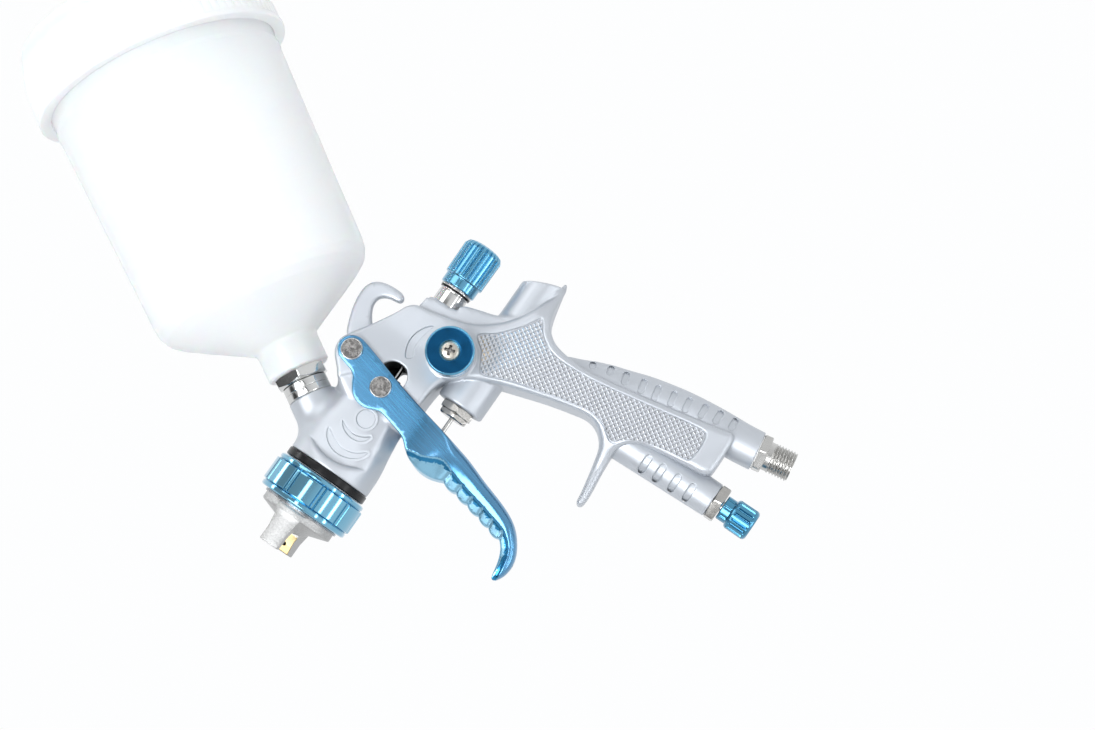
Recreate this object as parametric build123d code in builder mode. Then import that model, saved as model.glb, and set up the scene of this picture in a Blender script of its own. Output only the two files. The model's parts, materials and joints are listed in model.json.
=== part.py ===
# Gravity-feed HVLP spray gun: cast body with a top cup, three control knobs,
# a two-finger trigger, an air valve in line behind it and a quarter-inch air inlet.
# Frame: +Z up, spray direction -Y, the gun's left side +X.
# The origin is the spray outlet, on the spray axis at the front face of the air cap.
from build123d import *
import math
import os

os.makedirs("parts", exist_ok=True)

# ---------------------------------------------------------------- driving dimensions (mm)
HORN_TIP_Y = -9.3          # front of the two air horns
CAP_WALL_R = 16.6          # air cap outer wall
RING_R = 20.4              # air cap ring, smooth rims
RING_FLUTE_R = 21.5        # air cap ring over its flutes
RING_Y0, RING_Y1 = 9.5, 25.2
RING_FLUTES = 22
SPIGOT_R = 17.40           # threaded spigot of the body that carries the ring
SPIGOT_FIT = 0.05          # radial clearance of the ring on the spigot
HEAD_R = 18.9              # barrel of the head
HEAD_Y0 = 29.25
BODY_HALF = 12.0           # half width of the middle of the casting
PAD_HALF = 14.2            # half width of the round side pads and the pivot lug
GRIP_HALF = 12.5           # half width of the grip
NEEDLE_R = 1.25
NOZZLE_ORIFICE_R = 0.75

LEAN = 30.0                # backward lean of the cup from the perpendicular to the spray axis
CUP_ROOT_Y = 36.5          # where the cup axis meets the spray axis
CUP_R0, CUP_R1 = 47.9, 51.2   # cup wall radius at the shoulder and at the lid
CUP_WALL = 2.2
LID_S0, LID_S1 = 180.5, 213.0  # lid skirt, distance along the cup axis

PIVOT = (75.7, 19.2)       # trigger pivot (y, z)
DRIVE = (69.4, 0.2)        # needle pull pins (y, z)
CHEEK_IN, CHEEK_OUT = 14.6, 16.4

VALVE_Z = -29.5            # air valve axis height
FAN = (97.2, -15.9)        # fan control axis (y, z), along X
TUBE_Y = 109.8             # front air passage and its control, axis along Z
TUBE_R = 7.7

INLET_P = (138.2, -148.2)  # a point of the air inlet axis (y, z)
INLET_LEAN = 9.0           # lean of the inlet axis from straight down, toward the rear
INLET_THREAD_R = 6.58      # G 1/4 major radius

# ---------------------------------------------------------------- planes and axes
sl, cl = math.sin(math.radians(LEAN)), math.cos(math.radians(LEAN))
CUP_AXIS = Axis((0, CUP_ROOT_Y, 0), (0, sl, cl))
CUP_SEC = Plane(origin=(0, CUP_ROOT_Y, 0), x_dir=(1, 0, 0), z_dir=(0, -cl, sl))   # local (r, s)


def cup_level(s):
    return Plane(origin=(0, CUP_ROOT_Y + s * sl, s * cl), x_dir=(1, 0, 0), z_dir=(0, sl, cl))


VALVE_AXIS = Axis((0, 0, VALVE_Z), (0, 1, 0))
VALVE_SEC = Plane(origin=(0, 0, VALVE_Z), x_dir=(0, 1, 0), z_dir=(1, 0, 0))       # local (y, r)
def valve_level(y):
    return Plane(origin=(0, y, VALVE_Z), x_dir=(1, 0, 0), z_dir=(0, 1, 0))


FAN_AXIS = Axis((0, FAN[0], FAN[1]), (1, 0, 0))
FAN_SEC = Plane(origin=(0, FAN[0], FAN[1]), x_dir=(0, 1, 0), z_dir=(0, 0, -1))    # local (r, x)
TUBE_AXIS = Axis((0, TUBE_Y, 0), (0, 0, 1))
TUBE_SEC = Plane(origin=(0, TUBE_Y, 0), x_dir=(1, 0, 0), z_dir=(0, -1, 0))        # local (r, z)
si, ci = math.sin(math.radians(INLET_LEAN)), math.cos(math.radians(INLET_LEAN))
INLET_AXIS = Axis((0, INLET_P[0], INLET_P[1]), (0, si, -ci))
INLET_SEC = Plane(origin=(0, INLET_P[0], INLET_P[1]), x_dir=(1, 0, 0), z_dir=(0, ci, si))  # local (r, t)


def inlet_level(t):
    return Plane(origin=(0, INLET_P[0] + t * si, INLET_P[1] - t * ci), x_dir=(1, 0, 0), z_dir=(0, si, -ci))


def save(p, name):
    p.part.label = name
    export_step(p.part, "parts/" + name + ".step")


# ================================================================ body casting
# grip, stepped in toward its sides
GRIP_LINE = [(98.6, -36), (101.2, -47.1), (103.9, -55.4), (106.2, -64.0), (108.1, -72.8), (108.7, -79), (109.2, -97.4), (112.6, -107.6),
             (113.9, -116.8), (114.9, -128.7), (117.5, -132.4), (144.3, -132.4), (144.2, -124.0), (143.3, -114.5), (142.1, -105.3),
             (140.2, -96.5), (138.3, -87.7), (135.3, -79.6), (132.8, -71.1), (129.3, -63.3), (125.3, -55.9), (124.7, -51.3),
             (125.4, -46.7), (122.2, -21.3), (100, -21.3)]
with BuildPart() as grip:
    for half, inset in ((7.5, 0.0), (10.5, 1.4), (GRIP_HALF, 3.2)):
        with BuildSketch(Plane.YZ.offset(-half)):
            with BuildLine():
                Polyline(*GRIP_LINE, close=True)
            make_face()
            if inset:
                offset(amount=-inset, kind=Kind.INTERSECTION, mode=Mode.REPLACE)
        extrude(amount=2 * half)

with BuildPart() as gun_body:
    # head barrel with the threaded spigot
    with BuildSketch(Plane.YZ):
        with BuildLine():
            Polyline((19.6, 0), (19.6, SPIGOT_R), (HEAD_Y0, SPIGOT_R), (HEAD_Y0, HEAD_R), (44, HEAD_R), (56, 13.0), (60, 0), close=True)
        make_face()
    revolve(axis=Axis.Y)
    # round side pads
    with BuildSketch(Plane.YZ.offset(-PAD_HALF)):
        with Locations((52.5, 0.6)):
            Circle(19.0)
    extrude(amount=2 * PAD_HALF)
    # middle of the casting
    with BuildSketch(Plane.YZ.offset(-BODY_HALF)):
        with BuildLine():
            Polyline((44, 17.5), (62, 18.2), (66, 20.2), (72.5, 25.5), (79, 25.5), (88.1, 20.2), (95.8, 15.8), (104.8, 11.8),
                     (107.2, 8.0), (113.4, 7.9), (113.4, -6.9), (117.6, -6.9), (120.0, -13.6), (122.2, -21.3), (122.2, -30),
                     (98.6, -37), (96, -30), (92, -22), (82, -18), (44, -17.5), close=True)
        make_face()
    extrude(amount=2 * BODY_HALF)
    add(grip.part)
    # trigger pivot lug
    with BuildSketch(Plane.YZ.offset(-PAD_HALF)):
        with Locations(PIVOT):
            Circle(7.3)
    extrude(amount=2 * PAD_HALF)
    # cup inlet boss
    with BuildSketch(cup_level(0)):
        Circle(9.8)
    extrude(amount=28.5)
    # rear collar of the needle bore
    with BuildSketch(Plane.YZ):
        with BuildLine():
            Polyline((100, 0), (100, 9.5), (107.5, 9.0), (109, 7.9), (114.0, 7.9), (114.0, 0), close=True)
        make_face()
    revolve(axis=Axis.Y)
    # air valve bosses, front and rear
    with BuildSketch(VALVE_SEC):
        with BuildLine():
            Polyline((82.0, 0), (82.0, 10.6), (104, 10.6), (110, 8.8), (141.0, 8.8), (142.5, 7.3), (142.5, 0), close=True)
        make_face()
    revolve(axis=VALVE_AXIS)
    # fan control boss on the left side
    with BuildSketch(Plane.YZ.offset(0)):
        with Locations(FAN):
            Circle(11.0)
    extrude(amount=13.4)
    # beaver-tail horn over the web of the hand
    with BuildSketch(Plane.YZ.offset(-7.0)):
        with BuildLine():
            Polyline((118, -28), (142.4, -28), (142.4, -36.2), (146.1, -36.2), (150.5, -36.6), (149.6, -37.9), (142.6, -38.9),
                     (135.7, -40.1), (130.7, -42.0), (126.2, -46.7), (118, -50), close=True)
        make_face()
    extrude(amount=14.0)
    # finger hook at the front of the grip
    with BuildSketch(Plane.YZ.offset(-5.5)):
        with BuildLine():
            Polyline((112, -77), (108.7, -77.4), (106.9, -82.2), (103.9, -85.3), (100.5, -87.7), (93.9, -89.2), (87.3, -90.6),
                     (80.1, -92.0), (76.8, -92.3), (76.3, -94.6), (78.0, -95.5), (84.0, -95.4), (91.0, -94.6), (97.2, -94.0),
                     (102, -93.7), (112, -99), close=True)
        make_face()
    extrude(amount=11.0)
    # front air passage tube, and the shoulder that joins it to the grip
    with BuildSketch(Plane.XY.offset(-138.6)):
        with Locations((0, TUBE_Y)):
            Circle(TUBE_R)
    extrude(amount=46.6)
    # air inlet boss
    with BuildSketch(inlet_level(-24)):
        Circle(8.4)
    extrude(amount=18.1)
    # hanging hook in the middle plane
    with BuildSketch(Plane.YZ.offset(-2.3)):
        with BuildLine():
            Polyline((76, 22), (82.4, 27.2), (85.6, 31.2), (92, 33.0), (98.5, 33.3), (103, 32.6), (106.4, 29.6), (107.8, 24.5),
                     (107.4, 17.2), (104.5, 17.7), (103.9, 22.8), (102.2, 25.3), (99.5, 26.2), (95.4, 25.2), (91, 22.0),
                     (88.5, 18), (80, 18), close=True)
        make_face()
    extrude(amount=4.6)
    # ---- passages
    # needle bore, nozzle seat, paint chamber, packing bore, spring bore
    with BuildSketch(Plane.YZ):
        with BuildLine():
            Polyline((19.5, 0), (19.5, 6.05), (31, 6.05), (31, 4.6), (44, 4.6), (46, 2.2), (48, 2.2), (48, 5.0), (67, 5.0), (67, 0), close=True)
        make_face()
    revolve(axis=Axis.Y, mode=Mode.SUBTRACT)
    with BuildSketch(Plane.YZ):
        with BuildLine():
            Polyline((80, 0), (80, 1.32), (87, 1.32), (87, 5.2), (101, 5.2), (101, 5.95), (114.1, 5.95), (114.1, 0), close=True)
        make_face()
    revolve(axis=Axis.Y, mode=Mode.SUBTRACT)
    # fan air slots around the nozzle seat
    with BuildSketch(Plane.XZ.offset(-19.5)):
        with PolarLocations(11.5, 4, 45):
            Circle(2.2)
    extrude(amount=-14, mode=Mode.SUBTRACT)
    # window where the trigger pins reach the needle collar
    with BuildSketch(Plane.YZ.offset(-30)):
        with Locations((74.2, -0.6)):
            SlotOverall(16.4, 12.6)
    extrude(amount=60, mode=Mode.SUBTRACT)
    # paint passage down from the cup
    with BuildSketch(CUP_SEC):
        with BuildLine():
            Polyline((0, 1.0), (4.0, 1.0), (4.0, 17.0), (6.55, 17.0), (6.55, 29), (0, 29), close=True)
        make_face()
    revolve(axis=CUP_AXIS, mode=Mode.SUBTRACT)
    # trigger pivot bore
    with BuildSketch(Plane.YZ.offset(-30)):
        with Locations(PIVOT):
            Circle(3.05)
    extrude(amount=60, mode=Mode.SUBTRACT)
    # air valve bore
    with BuildSketch(VALVE_SEC):
        with BuildLine():
            Polyline((81.9, 0), (81.9, 5.05), (93, 5.05), (93, 1.3), (97, 1.3), (97, 5.6), (104, 5.6), (104, 6.55), (142.6, 6.55), (142.6, 0), close=True)
        make_face()
    revolve(axis=VALVE_AXIS, mode=Mode.SUBTRACT)
    # fan control bore, reaching across into the air passage
    with BuildSketch(FAN_SEC):
        with BuildLine():
            Polyline((0, -4), (3.0, -4), (3.0, 3), (7.05, 3), (7.05, 14), (0, 14), close=True)
        make_face()
    revolve(axis=FAN_AXIS, mode=Mode.SUBTRACT)
    # air passage up the front tube
    with BuildSketch(Plane.XY.offset(-139)):
        with Locations((0, TUBE_Y)):
            Circle(5.55)
    extrude(amount=42, mode=Mode.SUBTRACT)
    # air passage up the grip from the inlet
    with BuildSketch(inlet_level(-5.8)):
        Circle(5.55)
    extrude(amount=-50, mode=Mode.SUBTRACT)
    with BuildSketch(Plane.XY.offset(-97)):
        with Locations((0, 122)):
            Circle(4.0)
    extrude(amount=62, mode=Mode.SUBTRACT)
save(gun_body, "gun_body")

# ================================================================ air cap group
with BuildPart() as air_cap:
    with BuildSketch(Plane.YZ):
        with BuildLine():
            Polyline((0, 2.6), (0, 6.0), (2.2, 8.0), (5.0, CAP_WALL_R), (11.0, CAP_WALL_R), (11.0, 17.3), (17.3, 17.3), (17.3, 14.8),
                     (8.2, 14.8), (4.6, 9.4), (2.6, 5.0), (2.6, 2.6), close=True)
        make_face()
    revolve(axis=Axis.Y)
    # horns, standing on the left and right of the outlet
    for side in (1, -1):
        with BuildSketch(Plane.XZ.offset(-7.0)):
            with BuildLine():
                Polyline((side * 7.8, 3.9), (side * 15.6, 4.8), (side * 15.6, -4.8), (side * 7.8, -3.9), close=True)
            make_face()
        extrude(amount=16.3)
    # slanted inner faces of the horns
    with BuildSketch(Plane.XY.offset(-8)):
        with BuildLine():
            Polyline((-9.6, HORN_TIP_Y - 0.2), (-8.0, -5.5), (-7.0, 0.0), (7.0, 0.0), (8.0, -5.5), (9.6, HORN_TIP_Y - 0.2), close=True)
        make_face()
    extrude(amount=16, mode=Mode.SUBTRACT)
    # small jets beside the outlet, then one jet in each horn
    with BuildSketch(Plane.XZ.offset(1)):
        with PolarLocations(4.6, 4, 45):
            Circle(0.45)
    extrude(amount=-6, mode=Mode.SUBTRACT)
    for side in (1, -1):
        with BuildSketch(Plane.YZ.offset(side * 7.0)):
            with Locations((-5.8, 0)):
                Circle(0.75)
        extrude(amount=side * 4.5, mode=Mode.SUBTRACT)
save(air_cap, "air_cap")

with BuildPart() as air_cap_ring:
    with BuildSketch(Plane.YZ):
        with BuildLine():
            Polyline((RING_Y0, 16.72), (RING_Y0, 19.6), (RING_Y0 + 0.8, RING_R), (11.7, RING_R), (11.7, 21.0), (22.2, 21.0), (22.2, RING_R),
                     (RING_Y1 - 0.8, RING_R), (RING_Y1, 19.6), (RING_Y1, SPIGOT_R + SPIGOT_FIT), (10.9, SPIGOT_R + SPIGOT_FIT), (10.9, 16.72), close=True)
        make_face()
    revolve(axis=Axis.Y)
    # raised grip lands between the flutes
    with BuildSketch(Plane.XZ.offset(-11.7)):
        with PolarLocations(20.9, RING_FLUTES):
            Rectangle(1.2, 3.4)
    extrude(amount=-10.5)
save(air_cap_ring, "air_cap_ring")

with BuildPart() as cap_snap_ring:
    with BuildSketch(Plane.YZ):
        with BuildLine():
            Polyline((8.3, CAP_WALL_R + 0.03), (8.3, 17.5), (9.35, 17.5), (9.35, CAP_WALL_R + 0.03), close=True)
        make_face()
    revolve(axis=Axis.Y)
    with BuildSketch(Plane.XZ.offset(-8.0)):
        with Locations((0, -17.2)):
            Rectangle(2.4, 3)
    extrude(amount=-2, mode=Mode.SUBTRACT)
save(cap_snap_ring, "cap_snap_ring")

with BuildPart() as head_seal_ring:
    with BuildSketch(Plane.YZ):
        with BuildLine():
            Polyline((25.6, SPIGOT_R + 0.03), (25.6, 18.7), (26.1, 19.2), (28.7, 19.2), (29.2, 18.7), (29.2, SPIGOT_R + 0.03), close=True)
        make_face()
    revolve(axis=Axis.Y)
save(head_seal_ring, "head_seal_ring")

with BuildPart() as air_distributor:
    with BuildSketch(Plane.XZ.offset(-17.55)):
        Circle(16.9)
        Circle(6.1, mode=Mode.SUBTRACT)
        with PolarLocations(12.5, 12):
            Circle(1.3, mode=Mode.SUBTRACT)
    extrude(amount=-2.0)
save(air_distributor, "air_distributor")

with BuildPart() as fluid_nozzle:
    with BuildSketch(Plane.YZ):
        with BuildLine():
            Polyline((-0.4, NOZZLE_ORIFICE_R), (-0.4, 1.5), (0.2, 2.1), (2.6, 2.3), (6.5, 5.2), (9.5, 7.4), (12.5, 7.4), (14.5, 9.5), (17.5, 9.5),
                     (17.5, 6.0), (31.0, 6.0), (31.0, 3.4), (9.0, 3.4), (4.0, 2.0), (3.0, 1.85), (0.8, NOZZLE_ORIFICE_R), close=True)
        make_face()
    revolve(axis=Axis.Y)
    # spanner flats on the shoulder
    with BuildSketch(Plane.XZ.offset(-12.5)):
        Circle(12)
        RegularPolygon(radius=8.6, side_count=6, major_radius=False, mode=Mode.SUBTRACT)
    extrude(amount=-4.9, mode=Mode.SUBTRACT)
save(fluid_nozzle, "fluid_nozzle")

# ================================================================ needle group
with BuildPart() as fluid_needle:
    with BuildSketch(Plane.YZ):
        with BuildLine():
            Polyline((-0.2, 0), (0.1, 0.3), (2.3, NEEDLE_R), (126, NEEDLE_R), (126, 0), close=True)
        make_face()
    revolve(axis=Axis.Y)
save(fluid_needle, "fluid_needle")

with BuildPart() as needle_collar:
    with BuildSketch(Plane.YZ):
        with BuildLine():
            Polyline((71.95, NEEDLE_R), (71.95, 4.6), (72.4, 5.0), (74.2, 5.0), (74.2, 3.2), (76.6, 3.2), (76.6, NEEDLE_R), close=True)
        make_face()
    revolve(axis=Axis.Y)
save(needle_collar, "needle_collar")

with BuildPart() as needle_spring_seat:
    with BuildSketch(Plane.YZ):
        with BuildLine():
            Polyline((87.3, NEEDLE_R), (87.3, 4.2), (88.8, 4.2), (88.8, 2.6), (91.5, 2.6), (91.5, NEEDLE_R), close=True)
        make_face()
    revolve(axis=Axis.Y)
save(needle_spring_seat, "needle_spring_seat")

with BuildPart() as needle_packing:
    with BuildSketch(Plane.YZ):
        with BuildLine():
            Polyline((48.1, NEEDLE_R + 0.02), (48.1, 4.9), (53.0, 4.9), (53.0, NEEDLE_R + 0.02), close=True)
        make_face()
    revolve(axis=Axis.Y)
save(needle_packing, "needle_packing")

with BuildPart() as needle_packing_nut:
    with BuildSketch(Plane.YZ):
        with BuildLine():
            Polyline((53.1, NEEDLE_R + 0.08), (53.1, 4.95), (65.6, 4.95), (65.6, NEEDLE_R + 0.08), close=True)
        make_face()
    revolve(axis=Axis.Y)
    with BuildSketch(Plane.XZ.offset(-64.2)):
        Rectangle(12, 1.4)
        Circle(2.0, mode=Mode.SUBTRACT)
    extrude(amount=-2, mode=Mode.SUBTRACT)
save(needle_packing_nut, "needle_packing_nut")

# spring shown at its shortest working length, seated at the rear
SPRING_R, SPRING_WIRE = 3.5, 0.45
with BuildPart() as needle_spring:
    with BuildLine() as needle_spring_path:
        Helix(pitch=2.3, height=23.0, radius=SPRING_R, center=(0, 96.6, 0), direction=(0, 1, 0))
    with BuildSketch(Plane(origin=needle_spring_path.line @ 0, z_dir=needle_spring_path.line % 0)):
        Circle(SPRING_WIRE)
    sweep(path=needle_spring_path.line)
save(needle_spring, "needle_spring")

with BuildPart() as guide_sleeve:
    with BuildSketch(Plane.YZ):
        with BuildLine():
            Polyline((101.2, 4.5), (101.2, 5.9), (114.05, 5.9), (114.05, 6.5), (120.6, 6.5), (120.6, 5.6), (135.5, 5.6), (135.5, 1.35),
                     (131.5, 1.35), (131.5, 3.95), (121.0, 3.95), (121.0, 4.5), close=True)
        make_face()
    revolve(axis=Axis.Y)
save(guide_sleeve, "guide_sleeve")

with BuildPart() as sleeve_lock_rings:
    for y0, y1, r in ((120.75, 121.35, 7.0), (121.45, 122.05, 7.3)):
        with BuildSketch(Plane.YZ):
            with BuildLine():
                Polyline((y0, 5.65), (y0, r), (y1, r), (y1, 5.65), close=True)
            make_face()
        revolve(axis=Axis.Y)
save(sleeve_lock_rings, "sleeve_lock_rings")

with BuildPart() as fluid_knob:
    with BuildSketch(Plane.YZ):
        with BuildLine():
            Polyline((122.4, 5.68), (122.4, 7.6), (122.9, 7.9), (127.2, 7.9), (127.2, 8.1), (142.4, 8.1), (143.6, 7.4), (144.2, 6.0), (144.2, 0),
                     (136.8, 0), (136.8, 5.68), close=True)
        make_face()
    revolve(axis=Axis.Y)
    with BuildSketch(Plane.XZ.offset(-127.6)):
        with PolarLocations(8.15, 20):
            Rectangle(0.9, 1.3)
    extrude(amount=-13.6)
save(fluid_knob, "fluid_knob")

# ================================================================ fan control group
with BuildPart() as fan_valve_bushing:
    with BuildSketch(FAN_SEC):
        with BuildLine():
            Polyline((3.05, 3.1), (7.0, 3.1), (7.0, 13.5), (8.6, 13.5), (8.6, 15.6), (3.05, 15.6), close=True)
        make_face()
    revolve(axis=FAN_AXIS)
save(fan_valve_bushing, "fan_valve_bushing")

with BuildPart() as fan_valve_spindle:
    with BuildSketch(FAN_SEC):
        with BuildLine():
            Polyline((0, -2.0), (1.2, -2.0), (2.6, 1.5), (3.0, 3.5), (3.0, 21.0), (0, 21.0), close=True)
        make_face()
    revolve(axis=FAN_AXIS)
save(fan_valve_spindle, "fan_valve_spindle")

with BuildPart() as fan_knob:
    with BuildSketch(FAN_SEC):
        with BuildLine():
            Polyline((3.0, 16.2), (9.7, 16.2), (9.7, 23.2), (10.3, 23.6), (10.3, 25.4), (9.4, 26.2), (9.0, 26.2), (9.0, 25.9), (4.15, 25.9),
                     (4.15, 24.2), (3.0, 24.2), close=True)
        make_face()
    revolve(axis=FAN_AXIS)
save(fan_knob, "fan_knob")

with BuildPart() as fan_knob_screw:
    with BuildSketch(FAN_SEC):
        with BuildLine():
            Polyline((0, 21.1), (2.9, 21.1), (2.9, 24.25), (4.05, 24.25), (4.05, 25.6), (3.4, 26.3), (0, 26.6), close=True)
        make_face()
    revolve(axis=FAN_AXIS)
    with BuildSketch(Plane.YZ.offset(25.2)):
        with Locations(FAN):
            with GridLocations(0, 0, 1, 1):
                Rectangle(4.6, 0.9, rotation=45)
                Rectangle(4.6, 0.9, rotation=-45)
    extrude(amount=3, mode=Mode.SUBTRACT)
save(fan_knob_screw, "fan_knob_screw")

# ================================================================ trigger group
TRIGGER_SIDE = [(70.9, 22.5), (69.6, 19.2), (68.2, 13.5), (64.3, 11.4), (60.9, 9.0), (58.8, 5.2), (58.5, 0.5), (60.6, -3.9), (61.0, -6.0),
                (59.6, -11.8), (57.9, -18.1), (56.3, -20.2), (53.5, -26.0), (52.3, -31.0), (52.3, -36.5), (54.0, -43.7), (52.9, -48.6),
                (51.2, -55.9), (50.1, -62.3), (48.8, -69.2), (46.9, -74.8), (43.3, -78.2), (38.5, -80.0), (31.2, -81.4), (32.3, -83.7),
                (35.9, -85.2), (40.0, -85.6), (45.5, -84.2), (49.8, -81.8), (53.4, -78.1), (55.7, -73.5), (57.7, -67.6), (59.4, -61.4),
                (61.5, -54.9), (63.9, -48.2), (65.6, -41.9), (67.4, -35.7), (69.1, -29.4), (72.0, -17.3), (75.2, -4.9), (79.1, 8.0),
                (81.6, 17.0), (81.3, 20.5), (79.5, 23.5), (76.5, 25.0), (73.3, 24.6)]
# the hollow between the cheeks: open at the rear and at the top, behind the front web
TRIGGER_HOLLOW = [(40, 40), (40, -19.0), (57.4, -19.0), (58.0, -20.6), (55.5, -26.0), (54.4, -29.0), (54.4, -36.5), (56.0, -43.7),
                  (55.0, -48.6), (53.3, -55.9), (52.2, -62.3), (50.9, -69.2), (49.4, -74.0), (48.0, -76.5), (60, -76.5), (100, -60), (100, 40)]
with BuildPart() as trigger_hollow:
    with BuildSketch(Plane.YZ.offset(-20)):
        with BuildLine():
            Polyline(*TRIGGER_HOLLOW, close=True)
        make_face()
    extrude(amount=40)
    with BuildSketch(Plane.XZ.offset(-120)):
        with BuildLine():
            Polyline((CHEEK_IN, 45), (CHEEK_IN, -24), (7.6, -46), (7.6, -90), (-7.6, -90), (-7.6, -46), (-CHEEK_IN, -24), (-CHEEK_IN, 45), close=True)
        make_face()
    extrude(amount=120, mode=Mode.INTERSECT)

with BuildPart() as trigger:
    with BuildSketch(Plane.YZ.offset(-CHEEK_OUT)):
        with BuildLine():
            Polyline(*TRIGGER_SIDE, close=True)
        make_face()
    extrude(amount=2 * CHEEK_OUT)
    with BuildSketch(Plane.XZ.offset(-120)):
        with BuildLine():
            Polyline((CHEEK_OUT, 45), (CHEEK_OUT, -23.2), (9.4, -45.4), (9.4, -78), (7.5, -90), (-7.5, -90), (-9.4, -78), (-9.4, -45.4),
                     (-CHEEK_OUT, -23.2), (-CHEEK_OUT, 45), close=True)
        make_face()
    extrude(amount=120, mode=Mode.INTERSECT)
    add(trigger_hollow.part, mode=Mode.SUBTRACT)
    # pivot holes and pin holes through both cheeks
    with BuildSketch(Plane.YZ.offset(-20)):
        with Locations(PIVOT):
            Circle(3.05)
        with Locations(DRIVE):
            Circle(2.3)
    extrude(amount=40, mode=Mode.SUBTRACT)
save(trigger, "trigger")

with BuildPart() as needle_pull_pins:
    for side in (1, -1):
        with BuildSketch(Plane.YZ.offset(side * 3.4)):
            with Locations(DRIVE):
                Circle(2.3)
        extrude(amount=side * 13.1)
        with BuildSketch(Plane.YZ.offset(side * 16.45)):
            with Locations(DRIVE):
                Circle(4.6)
        extrude(amount=side * 1.4, taper=18)
save(needle_pull_pins, "needle_pull_pins")

with BuildPart() as trigger_pivot_pin:
    with BuildSketch(Plane.YZ.offset(-13.0)):
        with Locations(PIVOT):
            Circle(3.0)
    extrude(amount=29.5)
    with BuildSketch(Plane.YZ.offset(16.5)):
        with Locations(PIVOT):
            Circle(4.6)
    extrude(amount=1.4, taper=18)
    with BuildSketch(Plane.YZ.offset(-13.1)):
        with Locations(PIVOT):
            Circle(1.5)
    extrude(amount=9.0, mode=Mode.SUBTRACT)
save(trigger_pivot_pin, "trigger_pivot_pin")

with BuildPart() as trigger_pivot_screw:
    with BuildSketch(Plane.YZ.offset(-13.05)):
        with Locations(PIVOT):
            Circle(3.0)
    extrude(amount=-3.45)
    with BuildSketch(Plane.YZ.offset(-13.2)):
        with Locations(PIVOT):
            Circle(1.45)
    extrude(amount=8.4)
    with BuildSketch(Plane.YZ.offset(-16.5)):
        with Locations(PIVOT):
            Circle(4.6)
    extrude(amount=-1.4, taper=18)
    with BuildSketch(Plane.YZ.offset(-16.9)):
        with Locations(PIVOT):
            Rectangle(10, 1.0)
    extrude(amount=-2, mode=Mode.SUBTRACT)
save(trigger_pivot_screw, "trigger_pivot_screw")

# ================================================================ air valve group
STEM_R = 1.0
with BuildPart() as air_valve_stem:
    with BuildSketch(VALVE_SEC):
        with BuildLine():
            Polyline((54.95, 0), (55.15, 0.7), (55.6, STEM_R), (100.9, STEM_R), (100.9, 0), close=True)
        make_face()
    revolve(axis=VALVE_AXIS)
save(air_valve_stem, "air_valve_stem")

with BuildPart() as air_valve_nut:
    with BuildSketch(valve_level(76.3)):
        RegularPolygon(radius=7.0, side_count=6, major_radius=False, rotation=30)
    extrude(amount=5.6)
    with BuildSketch(valve_level(81.9)):
        Circle(5.0)
    extrude(amount=7.6)
    with BuildSketch(valve_level(76)):
        Circle(STEM_R + 0.06)
    extrude(amount=15, mode=Mode.SUBTRACT)
save(air_valve_nut, "air_valve_nut")

with BuildPart() as air_valve_packing:
    with BuildSketch(VALVE_SEC):
        with BuildLine():
            Polyline((89.6, STEM_R + 0.02), (89.6, 4.95), (92.9, 4.95), (92.9, STEM_R + 0.02), close=True)
        make_face()
    revolve(axis=VALVE_AXIS)
save(air_valve_packing, "air_valve_packing")

with BuildPart() as air_valve_seat:
    with BuildSketch(VALVE_SEC):
        with BuildLine():
            Polyline((97.1, 2.6), (97.1, 5.55), (104.05, 5.55), (104.05, 6.5), (105.4, 6.5), (105.4, 3.4), (104.6, 2.6), close=True)
        make_face()
    revolve(axis=VALVE_AXIS)
save(air_valve_seat, "air_valve_seat")

with BuildPart() as air_valve_poppet:
    with BuildSketch(VALVE_SEC):
        with BuildLine():
            Polyline((101.0, 0), (101.0, 1.8), (104.7, 2.2), (106.0, 4.4), (108.5, 5.0), (110.0, 5.0), (110.0, 2.2), (113.5, 2.2), (113.5, 0), close=True)
        make_face()
    revolve(axis=VALVE_AXIS)
save(air_valve_poppet, "air_valve_poppet")

with BuildPart() as air_valve_spring:
    with BuildLine() as air_valve_spring_path:
        Helix(pitch=1.85, height=11.1, radius=4.2, center=(0, 121.9, VALVE_Z), direction=(0, 1, 0))
    with BuildSketch(Plane(origin=air_valve_spring_path.line @ 0, z_dir=air_valve_spring_path.line % 0)):
        Circle(0.5)
    sweep(path=air_valve_spring_path.line)
save(air_valve_spring, "air_valve_spring")

with BuildPart() as air_valve_plug:
    with BuildSketch(VALVE_SEC):
        with BuildLine():
            Polyline((126.5, 0), (126.5, 3.2), (134.0, 3.2), (134.0, 6.5), (141.8, 6.5), (142.4, 5.9), (142.4, 0), close=True)
        make_face()
    revolve(axis=VALVE_AXIS)
    with BuildSketch(valve_level(141.0)):
        Rectangle(14, 1.4)
    extrude(amount=3, mode=Mode.SUBTRACT)
save(air_valve_plug, "air_valve_plug")

# ================================================================ cup group
with BuildPart() as fluid_inlet_fitting:
    with BuildSketch(CUP_SEC):
        with BuildLine():
            Polyline((3.9, 17.1), (6.5, 17.1), (6.5, 28.6), (9.4, 28.6), (9.7, 28.9), (9.7, 34.9), (9.4, 35.2), (7.5, 35.2), (7.5, 50.5), (3.9, 50.5), close=True)
        make_face()
    revolve(axis=CUP_AXIS)
save(fluid_inlet_fitting, "fluid_inlet_fitting")

with BuildPart() as cup_nut:
    with BuildSketch(cup_level(35.3)):
        RegularPolygon(radius=10.6, side_count=6, major_radius=False, rotation=0)
    extrude(amount=4.8)
    with BuildSketch(cup_level(40.1)):
        Circle(9.9)
    extrude(amount=11.4)
    with BuildSketch(cup_level(35)):
        Circle(7.55)
    extrude(amount=20, mode=Mode.SUBTRACT)
save(cup_nut, "cup_nut")

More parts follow.
